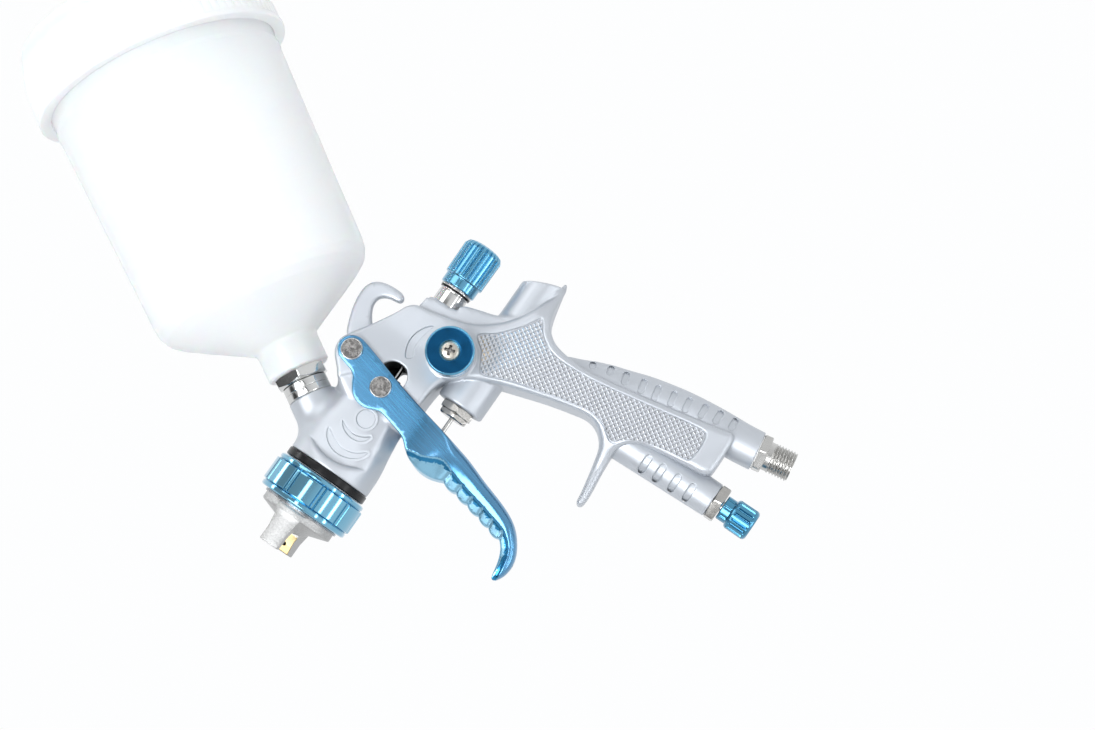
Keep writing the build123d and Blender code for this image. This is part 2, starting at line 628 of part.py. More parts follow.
with BuildPart() as cup:
    with BuildSketch(CUP_SEC):
        with BuildLine():
            Polyline((9.95, 40.3), (13.0, 40.3), (13.4, 40.8), (13.4, 53.3), (25.0, 60.3), (32.8, 65.0), (41.1, 70.2), (45.4, 73.6), (47.3, 77.5),
                     (CUP_R0, 82.0), (CUP_R1, 176.0), (50.9, 206.0), (48.6, 206.0), (48.8, 176), (CUP_R0 - CUP_WALL, 82.4), (45.0, 78.6),
                     (43.4, 75.6), (39.6, 72.4), (31.4, 67.3), (23.6, 62.6), (11.0, 55.2), (9.95, 53.6), close=True)
        make_face()
    revolve(axis=CUP_AXIS)
save(cup, "cup")

with BuildPart() as cup_filter:
    with BuildSketch(CUP_SEC):
        with BuildLine():
            Polyline((6.9, 52.2), (9.8, 52.2), (9.8, 53.2), (7.6, 53.2), (7.0, 55.0), (6.2, 78.0), (0, 78.0), (0, 77.2), (5.4, 77.2), (6.2, 55.0),
                     (6.9, 53.6), close=True)
        make_face()
    revolve(axis=CUP_AXIS)
save(cup_filter, "cup_filter")

with BuildPart() as cup_lid:
    with BuildSketch(CUP_SEC):
        with BuildLine():
            Polyline((51.6, LID_S0), (56.5, LID_S0), (56.2, 190.0), (54.8, 202.0), (51.8, LID_S1 - 0.6), (50.5, LID_S1), (38, LID_S1), (36, LID_S1 - 2.5),
                     (8, LID_S1 - 2.5), (8, LID_S1 + 2.5), (6, LID_S1 + 2.5), (6, LID_S1 - 0.5), (3.1, LID_S1 - 0.5), (3.1, LID_S1 - 4.9),
                     (37, LID_S1 - 4.9), (39, 209.4), (51.6, 209.4), close=True)
        make_face()
    revolve(axis=CUP_AXIS)
save(cup_lid, "cup_lid")

with BuildPart() as lid_gasket:
    with BuildSketch(CUP_SEC):
        with BuildLine():
            Polyline((47.5, 206.4), (51.3, 206.4), (51.3, 209.3), (47.5, 209.3), close=True)
        make_face()
    revolve(axis=CUP_AXIS)
save(lid_gasket, "lid_gasket")

with BuildPart() as lid_vent_plug:
    with BuildSketch(CUP_SEC):
        with BuildLine():
            Polyline((0, 205.6), (2.4, 205.6), (3.0, 207.0), (3.0, 212.6), (5.6, 212.6), (5.6, 217.6), (4.4, 218.6), (0, 218.6), close=True)
        make_face()
    revolve(axis=CUP_AXIS)
save(lid_vent_plug, "lid_vent_plug")

# ================================================================ air inlet and air control
with BuildPart() as air_inlet_nipple:
    with BuildSketch(inlet_level(-5.5)):
        RegularPolygon(radius=8.6, side_count=6, major_radius=True, rotation=30)
    extrude(amount=3.7)
    with BuildSketch(INLET_SEC):
        with BuildLine():
            # local y runs along the axis, out of the grip
            Polyline((0, -20), (5.5, -20), (5.5, -5.5), (6.2, -5.5), (6.2, 0.2), (INLET_THREAD_R, 0.6), (INLET_THREAD_R, 9.4), (6.1, 9.9), (0, 9.9), close=True)
        make_face()
    revolve(axis=INLET_AXIS)
    with BuildSketch(inlet_level(-21)):
        Circle(4.2)
    extrude(amount=32, mode=Mode.SUBTRACT)
save(air_inlet_nipple, "air_inlet_nipple")

with BuildPart() as inlet_seal:
    with BuildSketch(inlet_level(-5.87)):
        Circle(7.6)
        Circle(5.6, mode=Mode.SUBTRACT)
    extrude(amount=0.34)
save(inlet_seal, "inlet_seal")

with BuildPart() as air_control_body:
    with BuildSketch(Plane.XY.offset(-138.7)):
        with Locations((0, TUBE_Y)):
            RegularPolygon(radius=7.4, side_count=6, major_radius=False, rotation=0)
    extrude(amount=-4.2)
    with BuildSketch(Plane.XY.offset(-138.7)):
        with Locations((0, TUBE_Y)):
            Circle(5.5)
    extrude(amount=12.7)
    with BuildSketch(Plane.XY.offset(-144)):
        with Locations((0, TUBE_Y)):
            Circle(2.55)
    extrude(amount=20, mode=Mode.SUBTRACT)
save(air_control_body, "air_control_body")

with BuildPart() as air_control_stem:
    with BuildSketch(TUBE_SEC):
        with BuildLine():
            Polyline((0, -152), (2.5, -152), (2.5, -120), (4.4, -118), (4.4, -115.5), (1.0, -111), (0, -111), close=True)
        make_face()
    revolve(axis=TUBE_AXIS)
save(air_control_stem, "air_control_stem")

with BuildPart() as air_control_oring:
    with BuildSketch(TUBE_SEC):
        with BuildLine():
            Polyline((2.5, -125.2), (5.5, -125.2), (5.5, -123.4), (2.5, -123.4), close=True)
        make_face()
    revolve(axis=TUBE_AXIS)
save(air_control_oring, "air_control_oring")

with BuildPart() as air_control_knob:
    with BuildSketch(TUBE_SEC):
        with BuildLine():
            Polyline((2.5, -143.3), (5.4, -143.3), (5.4, -147.7), (6.5, -148.2), (6.7, -148.8), (6.7, -156.6), (5.9, -158.2), (0, -158.2), (0, -152.05), (2.5, -152.05), close=True)
        make_face()
    revolve(axis=TUBE_AXIS)
    with BuildSketch(Plane.XY.offset(-156.4)):
        with Locations((0, TUBE_Y)):
            with PolarLocations(6.55, 16):
                Rectangle(0.9, 1.0)
    extrude(amount=7.2)
save(air_control_knob, "air_control_knob")
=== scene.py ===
# Gravity-feed HVLP spray gun: the looks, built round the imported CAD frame.
# Lengths are written in millimetres and turned into metres when a mesh is made.
import json
import math
import bpy
import bmesh
import numpy as np
from mathutils import Matrix, Vector

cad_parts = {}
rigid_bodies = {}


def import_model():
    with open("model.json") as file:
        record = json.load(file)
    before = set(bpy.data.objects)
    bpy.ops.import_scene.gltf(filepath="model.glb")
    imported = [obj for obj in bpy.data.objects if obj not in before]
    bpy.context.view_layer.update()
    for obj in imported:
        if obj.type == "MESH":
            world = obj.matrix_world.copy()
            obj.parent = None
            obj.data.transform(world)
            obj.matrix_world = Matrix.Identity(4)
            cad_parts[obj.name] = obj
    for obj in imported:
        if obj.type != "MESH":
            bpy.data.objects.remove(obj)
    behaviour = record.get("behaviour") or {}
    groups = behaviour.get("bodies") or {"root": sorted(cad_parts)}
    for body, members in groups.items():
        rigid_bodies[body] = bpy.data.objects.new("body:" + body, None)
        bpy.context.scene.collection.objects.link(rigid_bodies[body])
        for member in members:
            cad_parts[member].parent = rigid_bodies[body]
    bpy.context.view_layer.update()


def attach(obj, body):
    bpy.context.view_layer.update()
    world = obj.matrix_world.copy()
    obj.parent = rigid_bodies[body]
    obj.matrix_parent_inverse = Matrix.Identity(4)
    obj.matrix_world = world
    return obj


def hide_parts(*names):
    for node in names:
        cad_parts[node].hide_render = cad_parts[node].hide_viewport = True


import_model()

import openvdb as vdb

MM = 0.001
F4 = np.float32


# ------------------------------------------------------------------ materials
class Nodes:
    def __init__(self, name):
        self.mat = bpy.data.materials.new(name)
        self.mat.use_nodes = True
        self.nt = self.mat.node_tree
        self.bsdf = self.nt.nodes["Principled BSDF"]
        self.tc = self.nt.nodes.new("ShaderNodeTexCoord").outputs["Object"]

    def add(self, kind, **props):
        n = self.nt.nodes.new(kind)
        for k, v in props.items():
            setattr(n, k, v)
        return n

    def link(self, a, b):
        self.nt.links.new(a, b)

    def mapped(self, rot=(0, 0, 0), scale=(1, 1, 1)):
        v = self.tc
        for key, val in (("Rotation", rot), ("Scale", scale)):
            m = self.add("ShaderNodeMapping")
            m.inputs[key].default_value = val
            self.link(v, m.inputs["Vector"])
            v = m.outputs["Vector"]
        return v

    def noise(self, vec, scale, detail=3.0, rough=0.55, distort=0.0):
        n = self.add("ShaderNodeTexNoise")
        n.inputs["Scale"].default_value = scale
        n.inputs["Detail"].default_value = detail
        n.inputs["Roughness"].default_value = rough
        n.inputs["Distortion"].default_value = distort
        self.link(vec, n.inputs["Vector"])
        return n.outputs["Fac"]

    def ramp(self, fac, stops):
        r = self.add("ShaderNodeValToRGB")
        e = r.color_ramp.elements
        while len(e) < len(stops):
            e.new(0.5)
        for i, (p, c) in enumerate(stops):
            e[i].position = p
            e[i].color = (*c, 1) if len(c) == 3 else c
        self.link(fac, r.inputs["Fac"])
        return r.outputs["Color"]

    def span(self, fac, lo, hi, a=0.0, b=1.0):
        m = self.add("ShaderNodeMapRange")
        for k, v in (("From Min", a), ("From Max", b), ("To Min", lo), ("To Max", hi)):
            m.inputs[k].default_value = v
        self.link(fac, m.inputs["Value"])
        return m.outputs["Result"]

    def mul(self, a, b, op="MULTIPLY"):
        m = self.add("ShaderNodeMath", operation=op)
        for i, s in enumerate((a, b)):
            if isinstance(s, (int, float)):
                m.inputs[i].default_value = s
            else:
                self.link(s, m.inputs[i])
        return m.outputs[0]

    def bump(self, height, strength, distance):
        b = self.add("ShaderNodeBump")
        b.inputs["Strength"].default_value = strength
        b.inputs["Distance"].default_value = distance
        self.link(height, b.inputs["Height"])
        self.link(b.outputs["Normal"], self.bsdf.inputs["Normal"])

    def set(self, **vals):
        for k, v in vals.items():
            self.bsdf.inputs[k.replace("_", " ")].default_value = v


def shade(c, k):
    return tuple(min(1.0, x * k) for x in c)


def grainy(name, base, metallic, rough, spread=0.08, fine=1800.0, coarse=60.0, bump=0.15, dist=2e-5, vary=0.06, **extra):
    """A cast, blasted or moulded surface: cloudy colour, grainy roughness and fine relief."""
    m = Nodes(name)
    v = m.mapped()
    big, small = m.noise(v, coarse, 3), m.noise(v, fine, 4, 0.7)
    mixed = m.mul(m.mul(big, 0.6), m.mul(small, 0.4), "ADD")
    m.link(m.ramp(mixed, [(0.32, shade(base, 1 - vary)), (0.68, shade(base, 1 + vary))]), m.bsdf.inputs["Base Color"])
    m.link(m.span(mixed, rough - spread, rough + spread, 0.3, 0.7), m.bsdf.inputs["Roughness"])
    m.bump(small, bump, dist)
    m.set(Metallic=metallic, **extra)
    return m.mat


def brushed(name, base, rough, rot=(0, 0, 0), scale=(1, 1, 1), spread=0.10, vary=0.25, bump=0.25, dist=1.5e-5, metallic=1.0, stray=0.0, **extra):
    """Fine lines along one direction: the mapping squeezes the noise across it."""
    m = Nodes(name)
    v = m.mapped(rot, scale)
    a, b = m.noise(v, 1.0, 4, 0.65), m.noise(m.mapped(rot, tuple(k * 2.7 for k in scale)), 1.0, 3, 0.7)
    f = m.mul(m.mul(a, 0.55), m.mul(b, 0.45), "ADD")
    if stray:
        w = m.noise(m.mapped(), 45.0, 3)
        f = m.mul(f, m.mul(m.mul(w, 0.5, "SUBTRACT"), stray), "ADD")
    m.link(m.ramp(f, [(0.30, shade(base, 1 - vary)), (0.50, base), (0.72, shade(base, 1 + vary * 1.6))]), m.bsdf.inputs["Base Color"])
    m.link(m.span(f, rough - spread, rough + spread, 0.3, 0.7), m.bsdf.inputs["Roughness"])
    m.bump(f, bump, dist)
    m.set(Metallic=metallic, **extra)
    return m.mat


M_CAST = grainy("cast_satin", (0.500, 0.528, 0.566), 0.60, 0.42, spread=0.05, fine=2600, coarse=70, bump=0.10, vary=0.025)
M_PANEL = grainy("cast_panel", (0.625, 0.645, 0.678), 0.85, 0.20, spread=0.03, fine=1200, coarse=90, bump=0.02, vary=0.02)
M_BLAST = grainy("blasted_aluminium", (0.47, 0.47, 0.465), 1.0, 0.42, spread=0.18, fine=5600, coarse=1500, bump=0.9, dist=1e-4, vary=0.30)
M_GOLD = grainy("gold_face", (0.38, 0.305, 0.16), 1.0, 0.34, fine=3500, coarse=500, bump=0.2, vary=0.12)
M_CHROME = grainy("chrome", (0.66, 0.66, 0.65), 1.0, 0.10, spread=0.03, fine=900, coarse=120, bump=0.03, vary=0.03)
M_NICKEL = grainy("nickel_hex", (0.44, 0.43, 0.41), 1.0, 0.15, spread=0.06, fine=1500, coarse=260, bump=0.12, dist=3e-5, vary=0.12)
M_TURNED = grainy("turned_steel", (0.55, 0.545, 0.53), 1.0, 0.22, spread=0.05, fine=1500, coarse=240, bump=0.06, vary=0.06)
M_BLUE = grainy("blue_anodised", (0.080, 0.345, 0.540), 1.0, 0.21, spread=0.03, fine=3000, coarse=140, bump=0.02, vary=0.05, Coat_Weight=1.0, Coat_Roughness=0.12, Coat_IOR=1.7)
# a darker copy of the blue anodising: painted shade, so the air knob reads darker under this light than the other knobs
M_BLUE_PAINTED_SHADE = grainy("blue_anodised_painted_shade", (0.062, 0.270, 0.430), 1.0, 0.21, spread=0.03, fine=3000, coarse=140, bump=0.02, vary=0.05, Coat_Weight=0.6, Coat_Roughness=0.12, Coat_IOR=1.6)
M_RING = grainy("ring_anodised", (0.095, 0.385, 0.570), 1.0, 0.10, spread=0.02, fine=3000, coarse=140, bump=0.015, vary=0.04, Coat_Weight=1.0, Coat_Roughness=0.06, Coat_IOR=2.0)
# darker copy of the blue anodising: painted shade for the crescents under the trigger blade's crease
M_PAINTED_SHADE_BLUE = grainy("shaded_blue", (0.040, 0.235, 0.450), 1.0, 0.25, spread=0.05, fine=3000, coarse=200, bump=0.05, vary=0.08)
# paler copy of the blue anodising: a painted highlight, laid on the trigger's finger lobes, along its crease and on the
# cheek bevel facing lower left
M_PAINTED_HIGHLIGHT_BLUE = grainy("painted_highlight_blue", (0.290, 0.560, 0.740), 1.0, 0.30, spread=0.06, fine=3000, coarse=200, bump=0.06, vary=0.07)
# darker copy of the blue anodising for the fan knob's flat face: a painted dark reflection
M_FAN_FACE_PAINTED_REFLECTION = grainy("blue_face_painted_dark_reflection", (0.010, 0.105, 0.250), 0.95, 0.17, spread=0.04, fine=4200, coarse=180, bump=0.06, vary=0.07)
M_BRUSH = brushed("blue_brushed", (0.043, 0.240, 0.450), 0.25, rot=(math.radians(13.0), 0, 0), scale=(45, 1900, 26), spread=0.07, vary=0.20, bump=0.12, stray=0.25, Coat_Weight=1.0, Coat_Roughness=0.17, Coat_IOR=1.75)
# dark, rough rivet-head finish; also used as painted shade in the fan screw's cross recess
M_RIVET_AND_RECESS_SHADE = grainy("rivet_face_and_recess_shade", (0.17, 0.165, 0.16), 1.0, 0.26, spread=0.14, fine=1100, coarse=650, bump=0.9, dist=2.6e-4, vary=0.80)
M_BLACK = grainy("black_ring", (0.008, 0.008, 0.009), 0.0, 0.24, spread=0.05, fine=1500, coarse=200, bump=0.05, vary=0.2, Specular_IOR_Level=0.22)
M_RUBBER = grainy("seal_rubber", (0.025, 0.025, 0.025), 0.0, 0.6, fine=2400, coarse=200, bump=0.3, vary=0.2)
M_BRASS = grainy("brass", (0.72, 0.52, 0.25), 1.0, 0.26, fine=1800, coarse=200, bump=0.1, vary=0.08)
M_SPRING = brushed("spring_wire", (0.45, 0.45, 0.46), 0.28, scale=(900, 900, 900), vary=0.12)
M_PTFE = grainy("ptfe", (0.85, 0.85, 0.83), 0.0, 0.45, fine=1500, coarse=200, bump=0.05, vary=0.03)
M_SCREW = grainy("screw_zinc", (0.58, 0.55, 0.49), 1.0, 0.30, spread=0.12, fine=2400, coarse=700, bump=0.3, dist=5e-5, vary=0.18)
# the small emission on cup and lid is a painted glow that brightens the white plastic; it is no lamp
M_CUP = grainy("cup_plastic", (0.985, 0.985, 0.99), 0.0, 0.42, spread=0.05, fine=260, coarse=22, bump=0.05, dist=1e-4, vary=0.006,
               Subsurface_Weight=0.3, Subsurface_Scale=0.02, Transmission_Weight=0.6, IOR=1.30, Emission_Color=(0.94, 0.96, 1, 1), Emission_Strength=0.035)
M_LID = grainy("lid_plastic", (0.985, 0.985, 0.99), 0.0, 0.42, spread=0.05, fine=320, coarse=26, bump=0.06, dist=1e-4, vary=0.006,
               Subsurface_Weight=0.3, Subsurface_Scale=0.02, Transmission_Weight=0.5, IOR=1.30, Emission_Color=(0.94, 0.96, 1, 1), Emission_Strength=0.035)
M_FILTER = grainy("filter_mesh", (0.84, 0.84, 0.82), 0.0, 0.6, fine=3000, coarse=500, bump=0.4, vary=0.05)
# near-black: painted shade inside the trigger window, the front bore and the air cap's jet holes
M_BORE_SHADE = grainy("bore_painted_shade", (0.02, 0.02, 0.02), 0.3, 0.5, fine=1500, coarse=200, bump=0.1, vary=0.2)


# ------------------------------------------------------------------ mesh helpers
def finish_piece(me, name, body, mats, node=None, sharp=None):
    for m in mats:
        me.materials.append(m)
    ob = bpy.data.objects.new(name, me)
    bpy.context.scene.collection.objects.link(ob)
    if sharp is not None:
        me.shade_smooth()
        me.set_sharp_from_angle(angle=math.radians(sharp))
    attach(ob, body)
    if node:
        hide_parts(*([node] if isinstance(node, str) else node))
    return ob


def frame_of(origin, axis, ref):
    a = np.array(axis, float); a /= np.linalg.norm(a)
    u = np.array(ref, float); u -= a * (u @ a); u /= np.linalg.norm(u)
    return np.array(origin, float), a, u, np.cross(a, u)


SL, CL = math.sin(math.radians(30)), math.cos(math.radians(30))
SI, CI = math.sin(math.radians(9)), math.cos(math.radians(9))
FR_Y = frame_of((0, 0, 0), (0, 1, 0), (1, 0, 0))
FR_VALVE = frame_of((0, 0, -29.5), (0, 1, 0), (1, 0, 0))
FR_CUP = frame_of((0, 36.5, 0), (0, SL, CL), (1, 0, 0))
FR_FAN = frame_of((0, 97.2, -15.9), (1, 0, 0), (0, 0, 1))
FR_TUBE = frame_of((0, 109.8, 0), (0, 0, 1), (1, 0, 0))
FR_INLET = frame_of((0, 138.2, -148.2), (0, SI, -CI), (1, 0, 0))


def soften(prof, closed):
    """Rounds the corners of a profile [(t, r) or (t, r, radius)] into short arcs."""
    pts = [(p[0], p[1], p[2] if len(p) > 2 else 0.0) for p in prof]
    n, out = len(pts), []
    for i, (t, r, f) in enumerate(pts):
        ends = not closed and i in (0, n - 1)
        if f <= 0 or ends:
            out.append((t, r)); continue
        a, b, c = np.array(pts[i - 1][:2]), np.array((t, r)), np.array(pts[(i + 1) % n][:2])
        u, v = a - b, c - b
        lu, lv = np.linalg.norm(u), np.linalg.norm(v)
        u, v = u / lu, v / lv
        half = math.acos(max(-1, min(1, float(u @ v)))) / 2
        if half > math.pi / 2 - 0.03:
            out.append((t, r)); continue
        d = min(f / math.tan(half), 0.48 * lu, 0.48 * lv)
        for k in range(5):
            s = k / 4
            p = (1 - s) ** 2 * (b + u * d) + 2 * s * (1 - s) * b + s * s * (b + v * d)
            out.append((float(p[0]), float(p[1])))
    return out


def rev(name, fr, prof, body, mats, node=None, seg=96, closed=False, rf=None, sub=None, sharp=32, pick=None, phase=0.0):
    """A turned piece. rf(theta, t, r) may change the radius, for flutes, flats, threads and ribs."""
    o, a, u, v = fr
    p = np.array(soften(prof, closed), float)
    if sub:
        dense = []
        m = len(p)
        for i in range(m if closed else m - 1):
            q, w = p[i], p[(i + 1) % m]
            k = max(1, int(math.ceil(np.linalg.norm(w - q) / sub)))
            dense += [q + (w - q) * j / k for j in range(k)]
        if not closed:
            dense.append(p[-1])
        p = np.array(dense)
    th = phase + np.arange(seg) * 2 * math.pi / seg
    T = np.repeat(p[:, :1], seg, 1)
    R = np.repeat(p[:, 1:2], seg, 1)
    TH = np.repeat(th[None, :], len(p), 0)
    if rf is not None:
        R = rf(TH, T, R)
    co = o + T[..., None] * a + R[..., None] * (np.cos(TH)[..., None] * u + np.sin(TH)[..., None] * v)
    n = len(p)
    idx = np.arange(n * seg).reshape(n, seg)
    nxt = np.roll(idx, -1, 1)
    rows = range(n if closed else n - 1)
    quads = np.concatenate([np.stack([idx[i], nxt[i], nxt[(i + 1) % n], idx[(i + 1) % n]], 1) for i in rows])
    me = bpy.data.meshes.new(name)
    me.from_pydata((co.reshape(-1, 3) * MM).tolist(), [], quads.tolist())
    bm = bmesh.new(); bm.from_mesh(me)
    bmesh.ops.remove_doubles(bm, verts=bm.verts, dist=1.2e-6)
    bmesh.ops.dissolve_degenerate(bm, edges=bm.edges, dist=1e-7)
    bmesh.ops.recalc_face_normals(bm, faces=bm.faces)
    if pick is not None:
        O, A = Vector(o * MM), Vector(a)
        for f in bm.faces:
            c = f.calc_center_median() - O
            t = c.dot(A)
            f.material_index = pick(t * 1000, (c - A * t).length * 1000, f.normal.dot(A))
    bm.to_mesh(me); bm.free()
    return finish_piece(me, name, body, mats, node, sharp)


def hexagon(af, corner=0.0):
    """Radius of a hexagon of that width across flats, corners from the angle given in degrees."""
    def f(TH, T, R):
        k = np.mod(TH - math.radians(corner) + math.pi / 6 - math.pi / 6, math.pi / 3) - math.pi / 6
        return np.minimum(R, af / 2 / np.cos(k))
    return f


def flutes(n, depth, t0, t1, width=0.5, power=1.0, phase=0.0, ramp=0.5, rmin=None):
    """n grooves of that depth between t0 and t1, each taking width of the pitch."""
    def f(TH, T, R):
        s = np.abs(np.mod((TH - phase) * n / (2 * math.pi), 1.0) - 0.5) * 2     # 1 at the groove's middle
        g = np.clip((s - (1 - width)) / width, 0, 1)
        g = np.sin(g * math.pi / 2) ** power
        e = np.clip((T - t0) / ramp, 0, 1) * np.clip((t1 - T) / ramp, 0, 1)
        e = np.sqrt(np.clip(e, 0, 1))
        on = np.ones_like(R) if rmin is None else (R > rmin)
        return R - depth * g * e * on
    return f


# ------------------------------------------------------------------ distance fields
def chaikin(P, k=2, closed=True):
    P = np.array(P, float)
    for _ in range(k):
        Q = np.roll(P, -1, 0) if closed else P[1:]
        A = P if closed else P[:-1]
        N = np.empty((len(A) * 2, 2))
        N[0::2] = A * 0.75 + Q * 0.25
        N[1::2] = A * 0.25 + Q * 0.75
        P = N if closed else np.vstack([P[:1], N, P[-1:]])
    return P


class Field:
    """A grid of the row frame in millimetres, with the usual solid shapes as signed distances."""
    def __init__(self, lo, hi, h):
        self.lo, self.h = np.array(lo, float), h
        n = [int(math.ceil((b - a) / h)) + 1 for a, b in zip(lo, hi)]
        ax = [np.arange(k, dtype=F4) * F4(h) + F4(a) for k, a in zip(n, lo)]
        self.X = ax[0][:, None, None]; self.Y = ax[1][None, :, None]; self.Z = ax[2][None, None, :]
        self.AX = np.abs(self.X)

    def line(self, P, closed=True):
        """Distance in the Y-Z plane to a polygon, negative inside."""
        y, z = self.Y[0, :, :], self.Z[0, :, :]
        P = np.array(P, float)
        best = np.full((self.Y.shape[1], self.Z.shape[2]), 1e9, F4)
        inside = np.zeros(best.shape, bool)
        for i in range(len(P) if closed else len(P) - 1):
            (ay, az), (by, bz) = P[i], P[(i + 1) % len(P)]
            ey, ez = F4(by - ay), F4(bz - az)
            L = ey * ey + ez * ez
            if L < 1e-12:
                continue
            wy, wz = y - F4(ay), z - F4(az)
            t = np.clip((wy * ey + wz * ez) / L, 0, 1)
            d = (wy - ey * t) ** 2 + (wz - ez * t) ** 2
            np.minimum(best, d, out=best)
            if closed and az != bz:
                hit = ((az > z) != (bz > z)) & (y < F4(ay) + (z - F4(az)) * F4((by - ay) / (bz - az)))
                inside ^= hit
        d = np.sqrt(best)
        return (np.where(inside, -d, d) if closed else d)[None]

    def plate(self, d2, half, r, x0=0.0):
        """An extrusion along X of a distance in the Y-Z plane, its edges rounded by r."""
        w = (np.abs(self.X - F4(x0)) if x0 else self.AX) - half + F4(r)
        q = d2 + F4(r)
        return np.sqrt(np.maximum(q, 0) ** 2 + np.maximum(w, 0) ** 2) + np.minimum(np.maximum(q, w), 0) - F4(r)

    def axis(self, p, d):
        """(distance along, radius) about an axis in the Y-Z plane through p with direction d."""
        dy, dz = d
        ry, rz = self.Y - F4(p[0]), self.Z - F4(p[1])
        t = ry * F4(dy) + rz * F4(dz)
        e = ry * F4(dz) - rz * F4(dy)
        return t, np.sqrt(self.X ** 2 + e * e)

    def rod(self, p, d, t0, t1, R, r=0.3):
        t, rad = self.axis(p, d)
        a, b = rad - R + F4(r), np.maximum(F4(t0) - t, t - F4(t1)) + F4(r)
        return np.sqrt(np.maximum(a, 0) ** 2 + np.maximum(b, 0) ** 2) + np.minimum(np.maximum(a, b), 0) - F4(r)


def smin(a, b, k):
    h = np.maximum(F4(k) - np.abs(a - b), 0) / F4(k)
    return np.minimum(a, b) - h * h * F4(k) * F4(0.25)


def smax(a, b, k):
    h = np.maximum(F4(k) - np.abs(a - b), 0) / F4(k)
    return np.maximum(a, b) + h * h * F4(k) * F4(0.25)


def step(x, a, b):
    t = np.clip((x - F4(a)) / F4(b - a), 0, 1)
    return t * t * (3 - 2 * t)


def skin(fd, arr, name, body, mats, node=None, adapt=0.0, pick=None, sharp=None):
    """The zero surface of a field as a mesh, with normals taken from the field's own slope."""
    h = fd.h
    a = np.clip(arr, -3 * h, 3 * h).astype(F4)
    g = vdb.FloatGrid(3 * h)
    g.copyFromArray(a)
    pts, tris, quads = g.convertToPolygons(0.0, adapt)
    pts = np.asarray(pts, float)
    faces = [tuple(f) for f in np.asarray(tris)] + [tuple(f) for f in np.asarray(quads)]
    # normals from the field
    i0 = np.clip(np.floor(pts).astype(int), 1, np.array(a.shape) - 3)
    f = pts - i0
    nrm = np.zeros_like(pts)
    for dx in (0, 1):
        for dy in (0, 1):
            for dz in (0, 1):
                w = (f[:, 0] if dx else 1 - f[:, 0]) * (f[:, 1] if dy else 1 - f[:, 1]) * (f[:, 2] if dz else 1 - f[:, 2])
                i, j, k = i0[:, 0] + dx, i0[:, 1] + dy, i0[:, 2] + dz
                gx = a[i + 1, j, k] - a[i - 1, j, k]
                gy = a[i, j + 1, k] - a[i, j - 1, k]
                gz = a[i, j, k + 1] - a[i, j, k - 1]
                nrm += w[:, None] * np.stack([gx, gy, gz], 1)
    nrm /= np.linalg.norm(nrm, axis=1)[:, None] + 1e-12
    co = (pts * h + fd.lo) * MM
    me = bpy.data.meshes.new(name)
    me.from_pydata(co.tolist(), [], faces)
    me.update()
    # outward faces
    gap = max(1, len(me.polygons) // 200)
    votes = sum(1 if Vector(nrm[me.polygons[i].vertices[0]]).dot(me.polygons[i].normal) > 0 else -1 for i in range(0, len(me.polygons), gap))
    if votes < 0:
        me.flip_normals()
    if pick is not None:
        k = len(me.polygons)
        c = np.zeros(k * 3); n = np.zeros(k * 3)
        me.polygons.foreach_get("center", c); me.polygons.foreach_get("normal", n)
        me.polygons.foreach_set("material_index", pick(c.reshape(-1, 3) * 1000, n.reshape(-1, 3)).astype(np.int32))
    me.shade_smooth()
    me.normals_split_custom_set_from_vertices([tuple(x) for x in nrm])
    print("skin", name, len(me.vertices), len(me.polygons))
    return finish_piece(me, name, body, mats, node)


def lathe_field(fd, prof, z0=0.0, axis_y=True):
    """Distance to a closed (y, r) profile turned about the Y axis at height z0."""
    ys, dr = fd.Y[0, :, 0], F4(0.06)
    r2 = np.sqrt(fd.X[:, 0, :] ** 2 + (fd.Z[:, 0, :] - F4(z0)) ** 2)
    rs = np.arange(int(r2.max() / dr) + 3, dtype=F4) * dr
    yy, rr = ys[:, None], rs[None, :]
    best = np.full((len(ys), len(rs)), 1e9, F4); inside = np.zeros(best.shape, bool)
    for i in range(len(prof)):
        (ay, ar), (by, br) = prof[i], prof[(i + 1) % len(prof)]
        ey, er = by - ay, br - ar
        t = np.clip(((yy - ay) * ey + (rr - ar) * er) / (ey * ey + er * er), 0, 1)
        np.minimum(best, (yy - ay - ey * t) ** 2 + (rr - ar - er * t) ** 2, out=best)
        if ar != br:
            inside ^= ((ar > rr) != (br > rr)) & (yy < ay + (rr - ar) * (ey / er))
    T = (np.sqrt(best) * np.where(inside, -1, 1)).astype(F4)
    q = r2 / dr
    i0 = q.astype(int); f = (q - i0).astype(F4)
    out = T[:, i0] * (1 - f) + T[:, i0 + 1] * f
    return np.ascontiguousarray(np.moveaxis(out, 0, 1))


def points_sd(P, Q):
    """Signed distance of loose points Q to a closed polygon P, negative inside."""
    P, Q = np.array(P, float), np.array(Q, float)
    best = np.full(len(Q), 1e18); ins = np.zeros(len(Q), bool)
    for i in range(len(P)):
        a, b = P[i], P[(i + 1) % len(P)]
        e, w = b - a, Q - a
        t = np.clip((w @ e) / (e @ e), 0, 1)
        best = np.minimum(best, ((w - e * t[:, None]) ** 2).sum(1))
        if a[1] != b[1]:
            ins ^= ((a[1] > Q[:, 1]) != (b[1] > Q[:, 1])) & (Q[:, 0] < a[0] + (Q[:, 1] - a[1]) * (e[0] / e[1]))
    return np.where(ins, -1, 1) * np.sqrt(best)


